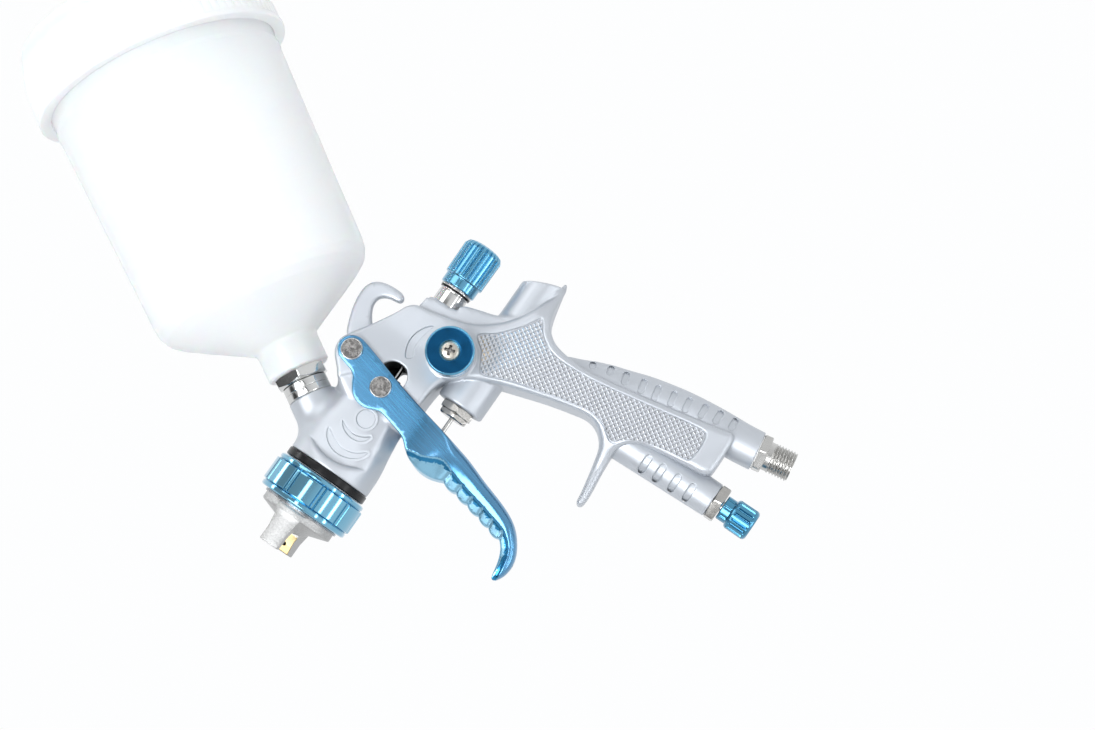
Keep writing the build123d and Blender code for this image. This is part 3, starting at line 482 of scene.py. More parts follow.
# ------------------------------------------------------------------ outlines in the Y-Z plane
WIDE = [(44, 17.0), (56, 17.4), (62.3, 17.6), (66.0, 20.4), (70.6, 25.2), (74.4, 26.6), (78.5, 26.3), (88.1, 20.2), (95.8, 15.8), (99.9, 13.6),
        (104.0, 11.9), (106.6, 9.2), (107.3, 5.6), (107.5, 3.4), (108.8, -1.5), (110.3, -8.2), (113.3, -16.3), (119.9, -24.4), (124.8, -28.6),
        (132.3, -33.0), (139.5, -34.7), (144.6, -35.4), (150.5, -35.9), (150.2, -37.9), (142.6, -39.1), (135.7, -40.3), (130.7, -42.2),
        (126.4, -46.9), (124.9, -51.5), (124.2, -57.0), (123.7, -63.5), (124.7, -71.5), (128.8, -93.8), (133.2, -115.7), (135.6, -127.0),
        (136.6, -129.6), (134.9, -131.8), (131.0, -132.3), (120.4, -132.5), (116.6, -131.8), (114.9, -128.7), (114.6, -123.8), (113.9, -116.8),
        (112.6, -107.6), (111.4, -101.6), (109.2, -97.4), (105.8, -94.6), (102.0, -93.7), (97.2, -94.0), (91.0, -94.6), (84.0, -95.4),
        (78.0, -95.6), (75.9, -94.3), (76.6, -92.3), (80.1, -92.0), (87.3, -90.6), (93.9, -89.2), (100.5, -87.7), (103.9, -85.3), (106.9, -82.2),
        (108.7, -77.4), (108.1, -72.8), (106.2, -64.0), (103.9, -55.4), (101.2, -47.1), (98.6, -38.7), (96.4, -33.6), (93.6, -27.4),
        (90.0, -22.0), (86.2, -18.8), (81.6, -17.4), (72, -17.0), (60, -16.6), (44, -17.0)]
PANEL = [(110.5, -19.4), (113.6, -23.9), (116.3, -27.1), (121.2, -31.3), (126.4, -35.2), (131.4, -37.3), (130.1, -39.2), (126.4, -41.2),
         (123.1, -46.0), (121.1, -50.5), (120.9, -58.9), (122.0, -73.1), (126.3, -95.3), (130.2, -117.6), (129.8, -121.4), (123.3, -122.3),
         (117.8, -121.8), (116.2, -120.6), (115.0, -113.0), (113.1, -104.4), (111.0, -98.4), (107.9, -94.0), (104.6, -91.3), (105.7, -88.5),
         (108.9, -84.4), (110.6, -78.7), (109.8, -71.7), (107.9, -63.0), (105.6, -54.6), (103.7, -45.9), (100.7, -37.8), (97.4, -30.1),
         (100.5, -27.9), (106.2, -25.0), (108.7, -21.2)]
NECK = [(98, 9.0), (107.2, 8.2), (113.6, 7.4), (113.8, -6.0), (117.5, -6.3), (120.0, -13.6), (122.2, -21.3), (125.4, -26.5), (128, -38), (104, -34)]
HANGER = [(76, 22), (80.9, 28.0), (86.9, 30.6), (93.6, 32.7), (100.2, 33.4), (104.7, 32.0), (107.3, 28.8), (108.4, 24.3), (108.6, 20.0),
          (108.0, 17.0), (106.0, 15.6), (104.0, 16.6), (103.6, 21.2), (102.2, 24.0), (100.2, 25.4), (97.4, 25.4), (94.2, 24.0), (90.0, 20.8),
          (87.5, 17.5), (80, 18)]
TUBE_PATH = [(117.5, -52.0), (119.2, -59.0), (121.6, -66.8), (125.0, -75.0), (127.3, -82.8), (130.0, -90.6), (131.8, -98.2), (133.6, -106.7),
             (134.8, -115.5), (135.7, -124.6), (136.2, -134.2), (137.2, -142.0)]
TUBE_SLOTS = [((128.1, -65.7), 0.4), ((130.6, -73.1), 1.2), ((131.3, -80.1), 1.9), ((132.5, -87.9), 2.2), ((133.4, -94.3), 2.3),
              ((135.1, -101.2), 2.3), ((136.5, -107.7), 2.3), ((138.2, -114.6), 2.2), ((139.6, -121.1), 2.1), ((140.7, -127.9), 1.9)]
ARC_BIG = [(44.3, 9.0), (41.6, 8.2), (39.2, 6.2), (37.3, 2.8), (36.8, -1.2), (37.7, -5.0), (39.6, -8.3), (42.0, -10.3), (44.8, -11.2),
           (42.6, -8.6), (41.0, -6.2), (40.1, -3.4), (40.0, -0.2), (40.7, 2.4), (42.4, 5.8)]
ARC_SMALL = [(49.8, 5.8), (48.2, 4.9), (46.6, 2.9), (45.6, 0.2), (45.4, -2.8), (46.2, -5.4), (48.0, -7.3), (50.8, -8.4), (49.0, -6.2),
             (47.9, -4.2), (47.3, -1.5), (47.6, 1.4), (48.5, 3.8)]
ARC_FAN = [(103.6, -2.9), (101.6, -0.6), (98.8, 1.1), (96.0, 2.1), (93.0, 2.4), (90.2, 1.9), (87.8, 0.9), (85.3, -0.6), (86.3, -2.4),
           (87.7, -3.2), (89.6, -2.0), (92.2, -1.1), (95.0, -1.0), (98.0, -1.4), (101.0, -2.2)]


DISC = [(55.3 + 3.9 * math.cos(a), -2.0 + 3.9 * math.sin(a)) for a in np.linspace(0, 2 * math.pi, 25)[:-1]]


def inlay(name, P, side, depth=0.70):
    """A crisp-edged shallow recess: a flush flange, a small round, a wall and a floor, over a pocket in the casting."""
    P = np.array(chaikin(P, 2))
    area = 0.5 * np.sum(P[:, 0] * np.roll(P[:, 1], -1) - np.roll(P[:, 0], -1) * P[:, 1])
    if area < 0:
        P = P[::-1]
    t = np.roll(P, -1, 0) - np.roll(P, 1, 0)
    t /= np.linalg.norm(t, axis=1)[:, None] + 1e-9
    nrm = np.stack([t[:, 1], -t[:, 0]], 1)
    lvl = [(1.25, 0.018), (0.34, 0.018), (0.26, 0.018), (0.12, -0.06), (0.0, -0.22), (-0.05, -depth + 0.10), (-0.16, -depth), (-0.26, -depth)]
    n = len(P)
    verts, faces = [], []
    for off, dx in lvl:
        Q = P + nrm * off
        u = np.clip((Q[:, 0] - 76) / 18, 0, 1)
        x = 14.2 - 1.9 * u * u * (3 - 2 * u) + dx
        verts += [(side * xx * MM, q[0] * MM, q[1] * MM) for xx, q in zip(x, Q)]
    for k in range(len(lvl) - 1):
        faces += [(k * n + i, k * n + (i + 1) % n, (k + 1) * n + (i + 1) % n, (k + 1) * n + i) for i in range(n)]
    faces.append(tuple(range((len(lvl) - 1) * n, len(lvl) * n)))
    me = bpy.data.meshes.new(name)
    me.from_pydata(verts, [], faces)
    bm = bmesh.new(); bm.from_mesh(me)
    bm.faces.ensure_lookup_table()
    bmesh.ops.triangulate(bm, faces=[f for f in bm.faces if len(f.verts) > 4])
    edge = [e for e in bm.edges if e.is_boundary]
    ret = bmesh.ops.extrude_edge_only(bm, edges=edge)
    low = [g for g in ret["geom"] if isinstance(g, bmesh.types.BMVert)]
    for v in low:
        v.co.x -= side * 0.95 * MM
    bmesh.ops.holes_fill(bm, edges=[e for e in bm.edges if e.is_boundary], sides=0)
    bmesh.ops.recalc_face_normals(bm, faces=bm.faces)
    bm.to_mesh(me); bm.free()
    finish_piece(me, name, "body", [M_CAST], None, sharp=40)


# ------------------------------------------------------------------ body casting
def make_body():
    fd = Field((-19.4, 18.6, -136.0), (19.4, 152.4, 35.2), 0.40)
    Y2, Z2 = fd.Y[0], fd.Z[0]
    H = F4(14.2) - F4(1.9) * step(fd.Y, 76, 94) + 0 * fd.Z
    upper = step(fd.Z, -62, -52)
    H = H - upper * F4(9.4) * step(fd.Y, 130.5, 150.5)                      # the horn thins toward its tip
    low = 1 - step(fd.Z, -76, -66)
    H = H - low * (F4(6.6) * (1 - step(fd.Y, 92, 111)) + F4(1.4) * (1 - step(fd.Y, 76, 92)))   # and so does the finger hook
    H = np.ascontiguousarray(H[0])[None]
    dw = fd.line(chaikin(WIDE, 2))
    r = F4(2.7) - F4(1.2) * step(fd.Z, -24, -8) - F4(1.4) * np.clip(1 - np.sqrt((fd.Y - F4(90)) ** 2 + (fd.Z + F4(25)) ** 2) / F4(10), 0, 1)
    r = np.maximum(r, F4(0.8))
    rim = np.minimum(r, H * F4(0.8))
    w, q = fd.AX - H + rim, dw + rim
    body = np.sqrt(np.maximum(q, 0) ** 2 + np.maximum(w, 0) ** 2) + np.minimum(np.maximum(q, w), 0) - rim
    # the head narrows from barrel to casting
    rad = np.sqrt(fd.X ** 2 + fd.Z ** 2)
    lim = np.interp(fd.Y[0, :, 0], [18, 29, 36, 48.4, 58.5, 63, 66, 68, 200], [18.9, 18.9, 18.9, 17.3, 16.6, 22, 60, 900, 900]).astype(F4)[None, :, None]
    body = smax(body, rad - lim, 2.5)
    prof = [(29.25, 0), (29.25, 18.5), (29.6, 18.9), (37.0, 18.9), (42, 18.4), (48.4, 17.2), (53, 16.1), (58.5, 14.9), (64, 11), (66, 0)]
    body = smin(body, lathe_field(fd, prof), 2.0)
    circ = np.sqrt((fd.Y - F4(52.5)) ** 2 + (fd.Z - F4(0.6)) ** 2) - F4(19.0)
    cut = np.maximum(F4(14.2) - fd.AX, circ)
    body = smax(body, -cut, 3.0)
    # neck behind the ridge, rear collar, valve bosses
    neck = fd.plate(fd.line(chaikin(NECK, 1)), 8.8, 1.4)
    neck = smin(neck, lathe_field(fd, [(98, 0), (98, 9.4), (106.5, 9.2), (108.6, 8.1), (113.4, 7.9), (114.0, 7.4), (114.0, 0)]), 0.8)
    rear = fd.rod((0, -29.5), (1, 0), 100, 152, 8.8, 0.6)
    rear = smax(rear, (fd.Y - F4(141.2)) * F4(0.92) + (fd.Z + F4(21.0)) * F4(0.39), 0.5)
    body = smin(body, smin(neck, rear, 2.0), 0.5)
    body = smin(body, fd.rod((0, -29.5), (1, 0), 82.0, 106, 10.6, 0.9), 0.35)
    # fan control boss on the left, cup inlet boss, spigot, hanger
    fan = np.sqrt((fd.Y - F4(97.2)) ** 2 + (fd.Z + F4(15.9)) ** 2)
    body = smin(body, np.maximum(np.maximum(fan - F4(10.0), fd.X - F4(13.4)), -fd.X), 0.8)
    body = smin(body, fd.rod((36.5, 0), (SL, CL), 0, 28.5, 9.8, 0.5), 5.0)
    body = np.minimum(body, fd.rod((0, 0), (1, 0), 19.6, 31, 17.4, 0.4))
    body = smin(body, fd.plate(fd.line(chaikin(HANGER, 2)), 2.3, 1.5), 1.6)
    # pockets for the crisp inlays of the side faces
    Hf = F4(14.2) - F4(1.9) * step(fd.Y, 76, 94)
    for P in (ARC_BIG, ARC_SMALL, ARC_FAN, DISC):
        s = fd.line(chaikin(P, 1)) - F4(0.35)
        body = np.maximum(body, -np.maximum(s, Hf - F4(1.1) - fd.AX))
    s = fd.line(chaikin(PANEL, 1)) - F4(0.25)
    body = smax(body, -np.maximum(s, H - F4(0.55) - fd.AX), 0.35)
    # passages, as in the CAD body
    bore = fd.rod((0, 0), (1, 0), 19.0, 31, 6.05)
    bore = np.minimum(bore, fd.rod((0, 0), (1, 0), 30, 44, 4.6))
    bore = np.minimum(bore, fd.rod((0, 0), (1, 0), 43, 49, 2.2))
    bore = np.minimum(bore, fd.rod((0, 0), (1, 0), 48, 68, 5.0))
    bore = np.minimum(bore, fd.rod((0, 0), (1, 0), 79, 88, 1.5))
    bore = np.minimum(bore, fd.rod((0, 0), (1, 0), 87, 102, 5.2))
    bore = np.minimum(bore, fd.rod((0, 0), (1, 0), 101, 115, 5.95))
    bore = np.minimum(bore, fd.rod((36.5, 0), (SL, CL), 1, 18, 4.0))
    bore = np.minimum(bore, fd.rod((36.5, 0), (SL, CL), 17, 30, 6.6))
    bore = np.minimum(bore, fd.rod((0, -29.5), (1, 0), 81, 93, 5.1))
    bore = np.minimum(bore, fd.rod((0, -29.5), (1, 0), 92, 98, 1.4))
    bore = np.minimum(bore, fd.rod((0, -29.5), (1, 0), 97, 105, 5.65))
    bore = np.minimum(bore, fd.rod((0, -29.5), (1, 0), 104, 152, 6.6))
    bore = np.minimum(bore, fd.rod((109.8, 0), (0, -1), 97, 141, 5.6))
    bore = np.minimum(bore, fd.rod((138.2, -148.2), (SI, -CI), -56, -5, 5.6))
    bore = np.minimum(bore, fd.rod((122, 0), (0, -1), 35, 97, 4.0))
    for sx in (1, -1):
        for sz in (1, -1):
            hole = np.sqrt((fd.X - F4(8.13 * sx)) ** 2 + (fd.Z - F4(8.13 * sz)) ** 2) - F4(2.2)
            bore = np.minimum(bore, np.maximum(hole, fd.Y - F4(33.5)))
    bore = np.minimum(bore, np.maximum(fan - F4(7.1), F4(3) - fd.X))
    bore = np.minimum(bore, np.maximum(fan - F4(3.05), np.abs(fd.X) - F4(4)))
    piv = np.sqrt((fd.Y - F4(75.7)) ** 2 + (fd.Z - F4(19.2)) ** 2) - F4(3.08)
    bore = np.minimum(bore, piv + 0 * fd.X)
    win = fd.line([(72.3, -0.6), (76.1, -0.6)], closed=False) - F4(6.3)
    body = smax(body, -bore, 0.3)
    body = smax(body, -np.maximum(win, -F4(6.5) - fd.X), 0.8)
    slot = fd.line([(69.2, 0.0), (79.2, -2.3)], closed=False) - F4(2.9)      # past the needle the opening is only the pin's slot
    body = smax(body, -(slot + 0 * fd.X), 0.3)

    def pick(c, n):
        y, z, x = c[:, 1], c[:, 2], np.abs(c[:, 0])
        # faces in the trigger window and the front bore take painted shade
        dark = (np.abs(y - 74.2) < 9) & (np.abs(z + 0.6) < 7) & (x < 12.2)
        dark |= (y < 29) & (np.hypot(c[:, 0], z) < 6.4)
        return np.where(dark, 1, 0)
    skin(fd, body, "gun_body_casting", "body", [M_CAST, M_BORE_SHADE], "gun_body", adapt=0.02, pick=pick)


def make_tubes():
    """The two air passages below the grip, on finer grids of their own for their crisp grooves."""
    h = 0.25
    fd = Field((-9.6, 107.5, -144.6), (9.6, 147.6, -51.0), h)
    d2 = fd.line(chaikin(TUBE_PATH, 2, closed=False), closed=False)
    R = np.interp(fd.Z[0, 0, :], [-145, -138, -126, -100, -66, -52], [8.45, 8.5, 8.6, 8.7, 8.7, 7.0]).astype(F4)[None, None, :]
    td = np.sqrt(fd.X ** 2 + d2 ** 2)
    tube = td - R
    tube = smax(tube, (fd.Y - F4(138.2)) * F4(SI) - (fd.Z + F4(148.2)) * F4(CI) + F4(5.9), 0.5)
    tube = smax(tube, fd.Z + F4(53), 1.0)
    for (cy, cz), hl in TUBE_SLOTS:
        k = min(range(len(TUBE_PATH) - 1), key=lambda i: (TUBE_PATH[i][0] - cy) ** 2 + (TUBE_PATH[i][1] - cz) ** 2)
        ty, tz = TUBE_PATH[k + 1][0] - TUBE_PATH[k][0], TUBE_PATH[k + 1][1] - TUBE_PATH[k][1]
        L = math.hypot(ty, tz); ny, nz = -tz / L, ty / L
        s = fd.line([(cy - ny * (hl + 0.5), cz - nz * (hl + 0.5)), (cy + ny * max(hl - 0.7, 0.1), cz + nz * max(hl - 0.7, 0.1))], closed=False) - F4(1.35)
        tube = smax(tube, -np.maximum(s, R - F4(0.78) - td), 0.10)
    bore = np.minimum(fd.rod((138.2, -148.2), (SI, -CI), -56, -5, 5.6), fd.rod((122, 0), (0, -1), 35, 97, 4.0))
    tube = smax(tube, -bore, 0.2)
    skin(fd, tube, "rear_air_tube", "body", [M_CAST], None, adapt=0.03)

    fd = Field((-9.4, 99.4, -139.6), (9.4, 119.6, -91.0), h)
    yc = F4(109.8) - (fd.Z + F4(138)) * F4(0.012)
    RT = F4(7.7) + np.maximum(fd.Z + F4(138), 0) * F4(0.022)
    fr = np.sqrt(fd.X ** 2 + (fd.Y - yc) ** 2)
    front = smax(smax(fr - RT, -F4(138.6) - fd.Z, 0.7), fd.Z + F4(92), 1.0)
    for zc, y0 in ((-107.0, 103.2), (-114.0, 103.4), (-121.5, 103.6), (-128.7, 103.8)):
        s = fd.line([(y0, zc), (y0 + 5.2, zc)], closed=False) - F4(1.45)
        front = smax(front, -np.maximum(s, RT - F4(1.05) - fr), 0.10)
    front = smax(front, -fd.rod((109.8, 0), (0, -1), 97, 141, 5.6), 0.2)
    skin(fd, front, "front_air_tube", "body", [M_CAST], None, adapt=0.03)


def make_panel(side, name):
    """Chequered grip panel: truncated pyramids on a square lattice, clipped to the panel outline."""
    p, top, base, tip = 1.73, 0.16, 12.02, 12.52
    a, b = np.array((0.8416, -0.5400)), np.array((-0.5400, -0.8416))
    out = chaikin(PANEL, 2)
    c0 = np.array((115.0, -70.0))
    verts, faces = [], []
    n = 42
    cells = [(i, j) for i in range(-n, n + 1) for j in range(-n, n + 1)]
    C = np.array([c0 + a * p * i + b * p * j for i, j in cells])
    sd = points_sd(out, C)
    tris = []
    for c, s in zip(C, sd):
        if s > 1.3:
            continue
        lo = [c + (a * u + b * v) * p / 2 for u, v in ((-1, -1), (1, -1), (1, 1), (-1, 1))]
        hi = [c + (a * u + b * v) * top for u, v in ((-1, -1), (1, -1), (1, 1), (-1, 1))]
        L = [(q[0], q[1], base) for q in lo]; T = [(q[0], q[1], tip) for q in hi]
        tris += [(T[0], T[1], T[2]), (T[0], T[2], T[3])]
        for k in range(4):
            m = (k + 1) % 4
            tris += [(L[k], L[m], T[m]), (L[k], T[m], T[k])]
    A = np.array(tris)
    D = points_sd(out, A.reshape(-1, 3)[:, :2]).reshape(-1, 3) + 0.12
    for t, d in zip(A, D):
        if (d > 0).all():
            continue
        poly = []
        for k in range(3):
            m = (k + 1) % 3
            if d[k] <= 0:
                poly.append(t[k])
            if (d[k] <= 0) != (d[m] <= 0):
                poly.append(t[k] + (t[m] - t[k]) * (d[k] / (d[k] - d[m])))
        if len(poly) >= 3:
            s = len(verts)
            verts += [(side * q[2] * MM, q[0] * MM, q[1] * MM) for q in poly]
            faces.append(tuple(range(s, s + len(poly))))
    me = bpy.data.meshes.new(name)
    me.from_pydata(verts, [], faces)
    bm = bmesh.new(); bm.from_mesh(me)
    bmesh.ops.remove_doubles(bm, verts=bm.verts, dist=1e-6)
    # a backing skirt gives the panel thickness, so it is a solid wafer in the recess
    edge = [e for e in bm.edges if e.is_boundary]
    ret = bmesh.ops.extrude_edge_only(bm, edges=edge)
    for v in [g for g in ret["geom"] if isinstance(g, bmesh.types.BMVert)]:
        v.co.x = side * 11.6 * MM
    bmesh.ops.holes_fill(bm, edges=[e for e in bm.edges if e.is_boundary], sides=0)
    bmesh.ops.recalc_face_normals(bm, faces=bm.faces)
    bm.to_mesh(me); bm.free()
    finish_piece(me, name, "body", [M_PANEL], None, sharp=20)


# ------------------------------------------------------------------ trigger
T_FRONT = [(69.6, 19.2), (68.2, 13.5), (64.3, 11.4), (60.9, 9.0), (58.8, 5.2), (58.5, 0.5), (60.6, -3.9), (61.0, -6.0), (59.6, -11.8),
           (57.9, -18.1), (56.8, -19.8), (54.6, -22.2), (52.4, -24.8), (51.0, -28.0), (50.4, -31.6), (50.5, -35.6), (51.4, -39.2), (52.8, -42.3)]
T_CUSPS = [(52.8, -42.3), (51.9, -49.2), (50.6, -55.7), (49.3, -62.3), (47.8, -68.3), (46.2, -74.4)]
T_TIP = [(45.6, -75.4), (43.4, -77.4), (40.4, -78.9), (36.6, -80.0), (31.6, -80.9), (30.6, -81.8), (31.4, -83.2)]
T_REAR = [(31.4, -83.2), (33.4, -84.6), (36.2, -85.5), (39.9, -85.8), (43.8, -84.9), (47.5, -83.0), (51.4, -80.1), (54.0, -77.3), (55.8, -74.6),
          (57.5, -71.0), (59.1, -66.7), (60.7, -61.4), (62.3, -56.1), (64.2, -50.9), (65.9, -45.9), (67.5, -39.2), (69.1, -31.4), (72.0, -17.9),
          (75.2, -5.1), (79.1, 8.0), (81.4, 16.2), (81.9, 19.4), (81.0, 22.6), (78.6, 24.9), (75.6, 25.6), (72.6, 24.8), (70.6, 22.6)]
T_EDGE = [(52.6, -20.0), (54.3, -23.0), (55.1, -26.4), (55.6, -29.6), (57.4, -33.4), (58.8, -35.6), (59.4, -38.2), (58.7, -41.0), (57.7, -43.6),
          (56.1, -49.3), (54.8, -55.2), (53.4, -61.6), (51.9, -68.0), (50.3, -74.1), (49.2, -76.1), (47.7, -78.1), (45.4, -80.2), (42.3, -81.7),
          (38.8, -82.6), (35.5, -83.2), (31.0, -83.4)]


def lobes(P, sag, k=9):
    out = []
    for (a, b), (c, d) in zip(P[:-1], P[1:]):
        L = math.hypot(c - a, d - b)
        ny, nz = (d - b) / L, -(c - a) / L
        if ny > 0:
            ny, nz = -ny, -nz
        for i in range(k):
            t = i / k
            s = sag * (1 - (2 * t - 1) ** 2) ** 0.75
            out.append((a + (c - a) * t + ny * s, b + (d - b) * t + nz * s))
    return out + [P[-1]]


def make_trigger():
    fd = Field((-17.4, 29.0, -88.0), (17.4, 84.0, 28.0), 0.34)
    side = chaikin(T_FRONT, 2, closed=False).tolist()[:-1] + lobes(T_CUSPS, 1.25) + chaikin(T_TIP, 2, closed=False).tolist()[1:] \
        + chaikin(T_REAR, 2, closed=False).tolist()[1:]
    d2 = fd.line(side)
    zz = fd.Z[0, 0, :]
    hx = np.interp(zz, [-90, -84, -76, -60, -50, -44, -37, -30, -23, 40], [5.8, 6.8, 8.4, 9.1, 9.8, 11.0, 13.3, 15.5, 16.4, 16.4])
    k = int(2.2 / fd.h)
    pad = np.concatenate([np.full(k, hx[0]), hx, np.full(k, hx[-1])])
    hx = np.convolve(pad, np.ones(2 * k + 1) / (2 * k + 1), "valid").astype(F4)[None, None, :]
    s = -fd.line(T_EDGE + [(0, -83.4), (0, 30), (52.0, 30)])          # how far in front of the blade's edge line
    s = np.maximum(s, 0) * (1 - step(fd.Z, -24, -18))
    low = 1 - step(fd.Z, -41, -29)
    dr = fd.line(chaikin(T_REAR, 2, closed=False), closed=False)
    rr = F4(0.8) + F4(4.0) * low
    t = np.clip(rr - dr, 0, rr * F4(0.985))
    drop = rr - np.sqrt(rr * rr - t * t)
    behind = np.clip(fd.line(T_EDGE + [(0, -83.4), (0, 30), (52.0, 30)]), 0, 5.2)
    crown = F4(0.046) * (F4(5.2) - behind) ** 2
    ribs = [fd.line([(ay - 1.0, az + 0.2), (by + 0.6, bz)], closed=False) for (ay, az), (by, bz) in
            zip(T_CUSPS, [(57.4, -43.4), (55.7, -49.6), (54.4, -56.0), (53.2, -62.0), (51.8, -68.0), (50.3, -74.2)])]
    ribs = np.sort(np.stack(ribs), 0)
    groove = F4(0.55) * np.clip(1 - ribs[0] / F4(1.3), 0, 1) ** 2 * step(s, 0.2, 1.2)
    H = np.maximum(hx - np.minimum(F4(2.0) * s, F4(0.9) + F4(0.62) * s) - groove - (drop + crown) * low, 1.2)
    rim = F4(0.55) + F4(0.35) * (1 - low)
    w, q = fd.AX - H + rim, d2 + rim
    shell = np.sqrt(np.maximum(q, 0) ** 2 + np.maximum(w, 0) ** 2) + np.minimum(np.maximum(q, w), 0) - rim
    hollow = [(40, 40), (40, -19.0), (57.4, -19.0), (58.0, -20.6), (55.5, -26.0), (54.6, -29.0), (54.6, -36.5), (56.0, -43.7), (55.0, -48.6),
              (53.6, -55.9), (52.4, -62.3), (51.0, -69.2), (49.8, -73.4), (50.4, -76.0), (60, -77.5), (100, -60), (100, 40)]
    gap = np.maximum(fd.line(hollow), fd.AX - np.minimum(hx - F4(1.8), H - F4(1.5)))
    trig = smax(shell, -gap, 0.5)
    for (cy, cz), r in (((75.7, 19.2), 3.08), ((69.4, 0.2), 2.34)):
        hole = np.sqrt((fd.Y - F4(cy)) ** 2 + (fd.Z - F4(cz)) ** 2) - F4(r)
        trig = np.maximum(trig, -hole)

    A = np.array(T_CUSPS) - (1.0, -0.2)
    B = np.array([(57.4, -43.4), (55.7, -49.6), (54.4, -56.0), (53.2, -62.0), (51.8, -68.0), (50.3, -74.2)]) + (0.6, 0)

    def pick(c, n):
        ahead = -points_sd(T_EDGE + [(0, -83.4), (0, -20)], c[:, 1:])
        nx, z, q = np.abs(n[:, 0]), c[:, 2], c[:, 1:]
        d = []
        for a, b in zip(A, B):
            e, w = b - a, q - a
            t = np.clip((w @ e) / (e @ e), 0, 1)
            d.append(np.linalg.norm(w - e * t[:, None], axis=1))
        d = np.sort(np.array(d), 0)
        m2 = 1 - ((d[1] - d[0]) / (d[1] + d[0])) ** 2                     # 0 on a rib between two finger lobes, 1 half way
        fair = (nx > 0.2) & (ahead > 0.05)
        # index 1 is painted shade: crescents below the crease, widest half way between two ribs
        deep = fair & (ahead < 0.25 + 1.75 * m2)
        # index 2 is a painted highlight: the finger lobes, a thin line along the crease and the cheek bevel facing
        # lower left
        pale = (ahead > 0.05) & ~deep
        pale |= (np.abs(ahead) < 0.28) & (z > -43) & (nx > 0.3)
        pale |= (z > -24) & (nx < 0.93) & (nx > 0.25) & (n[:, 2] * 0.23 - n[:, 1] * 0.97 > 0.25)
        return np.where(pale, 2, np.where(deep, 1, 0))
    skin(fd, trig, "trigger_shell", "trigger", [M_BRUSH, M_PAINTED_SHADE_BLUE, M_PAINTED_HIGHLIGHT_BLUE], "trigger", adapt=0.02, pick=pick)


# ------------------------------------------------------------------ air cap and its ring
def make_cap():
    fd = Field((-17.6, -10.4, -17.6), (17.6, 18.2, 17.6), 0.22)
    prof = [(0, 0), (0, 6.0), (2.4, 8.4), (4.9, 16.2), (5.3, 16.6), (11.0, 16.6), (11.0, 17.3), (17.3, 17.3), (17.3, 14.8), (8.2, 14.8),
            (4.6, 9.4), (2.6, 5.0), (2.6, 0)]
    cap = lathe_field(fd, prof)
    rad = np.sqrt(fd.X ** 2 + fd.Z ** 2)
    ct, st = F4(math.cos(math.radians(4))), F4(math.sin(math.radians(4)))
    X, Z = fd.X * ct + fd.Z * st, fd.Z * ct - fd.X * st
    AX = np.abs(X)
    inner = np.interp(fd.Y[0, :, 0], [-11, -9.3, -5.5, 0, 6], [10.3, 9.6, 8.0, 7.0, 5.5]).astype(F4)[None, :, None]
    wz = np.abs(Z) - (F4(2.75) + F4(0.105) * AX) - F4(0.16) * np.maximum(fd.Y + F4(3), 0)
    horn = smax(smax(rad - F4(16.6), wz, 0.5), F4(-9.3) - fd.Y, 0.5)
    horn = smax(horn, (inner - AX) * F4(0.93), 0.4)
    horn = np.maximum(horn, fd.Y - F4(7.0))
    cap = smin(cap, horn, 1.8)
    bore = np.maximum(rad - F4(2.6), fd.Y - F4(4))
    jet = np.sqrt((fd.Y + F4(5.8)) ** 2 + Z ** 2) - F4(0.75)
    bore = np.minimum(bore, np.maximum(jet, np.abs(AX - F4(9.5)) - F4(2.6)))
    for i in range(4):
        a = math.radians(45 + 90 * i)
        hole = np.sqrt((fd.X - F4(4.6 * math.cos(a))) ** 2 + (fd.Z - F4(4.6 * math.sin(a))) ** 2) - F4(0.5)
        bore = np.minimum(bore, np.maximum(hole, fd.Y - F4(5)))
    cap = smax(cap, -bore, 0.15)

    def pick(c, n):
        x, y, z = c[:, 0] * ct + c[:, 2] * st, c[:, 1], c[:, 2] * ct - c[:, 0] * st
        gold = (np.abs(x) < 11.0) & (y < -0.8) & (n[:, 0] * np.sign(x) < -0.6)
        # the jet holes take painted shade (index 2)
        jet = (np.hypot(y + 5.8, z) < 0.86) & (np.abs(x) > 7.0) & (np.abs(x) < 12.3) & (y < -4)
        jet |= (np.hypot(x, z) < 2.75) & (y > 0.35) & (y < 4.2)
        return np.where(jet, 2, np.where(gold, 1, 0))
    skin(fd, cap, "air_cap_horned", "air_cap", [M_BLAST, M_GOLD, M_BORE_SHADE], "air_cap", adapt=0.01, pick=pick)


def make_ring():
    def rf(TH, T, R):
        s = np.mod((TH - math.radians(15.5)) / math.radians(36.0), 1.0)      # 0 in the middle of a pair of grooves
        s = np.minimum(s, 1 - s) * 36.0                                      # degrees from it
        groove = np.clip(1 - np.abs(s - 2.6) / 1.0, 0, 1)
        r = 21.30 - 0.80 * groove ** 0.7
        e = np.clip((T - 12.0) / 0.45, 0, 1) * np.clip((22.8 - T) / 0.45, 0, 1)
        return np.where((R > 19.9) & (T > 11.6) & (T < 23.2), 20.05 + (r - 20.05) * np.sqrt(e), R)
    prof = [(9.5, 16.74), (9.5, 19.9, 0.3), (10.0, 20.55, 0.5), (11.5, 20.6, 0.15), (11.75, 20.05), (23.05, 20.05), (23.3, 20.6, 0.15), (24.6, 20.55, 0.4),
            (25.2, 19.8, 0.3), (25.2, 17.46), (10.9, 17.46), (10.9, 16.74)]
    rev("cap_ring_anodised", FR_Y, prof, "cap_ring", [M_RING], "air_cap_ring", seg=540, closed=True, rf=rf, sub=0.34, sharp=30)


# ------------------------------------------------------------------ turned, milled and moulded pieces
def screw_recess(arm, reach, depth, turn):
    def tf(TH, T, R):
        x, y = R * np.cos(TH - turn), R * np.sin(TH - turn)
        bar = np.maximum(np.minimum(np.abs(x), np.abs(y)) - arm, np.maximum(np.abs(x), np.abs(y)) - reach)
        return T - depth * np.clip(-bar / 0.22, 0, 1) * (R < reach + 0.3)
    return tf


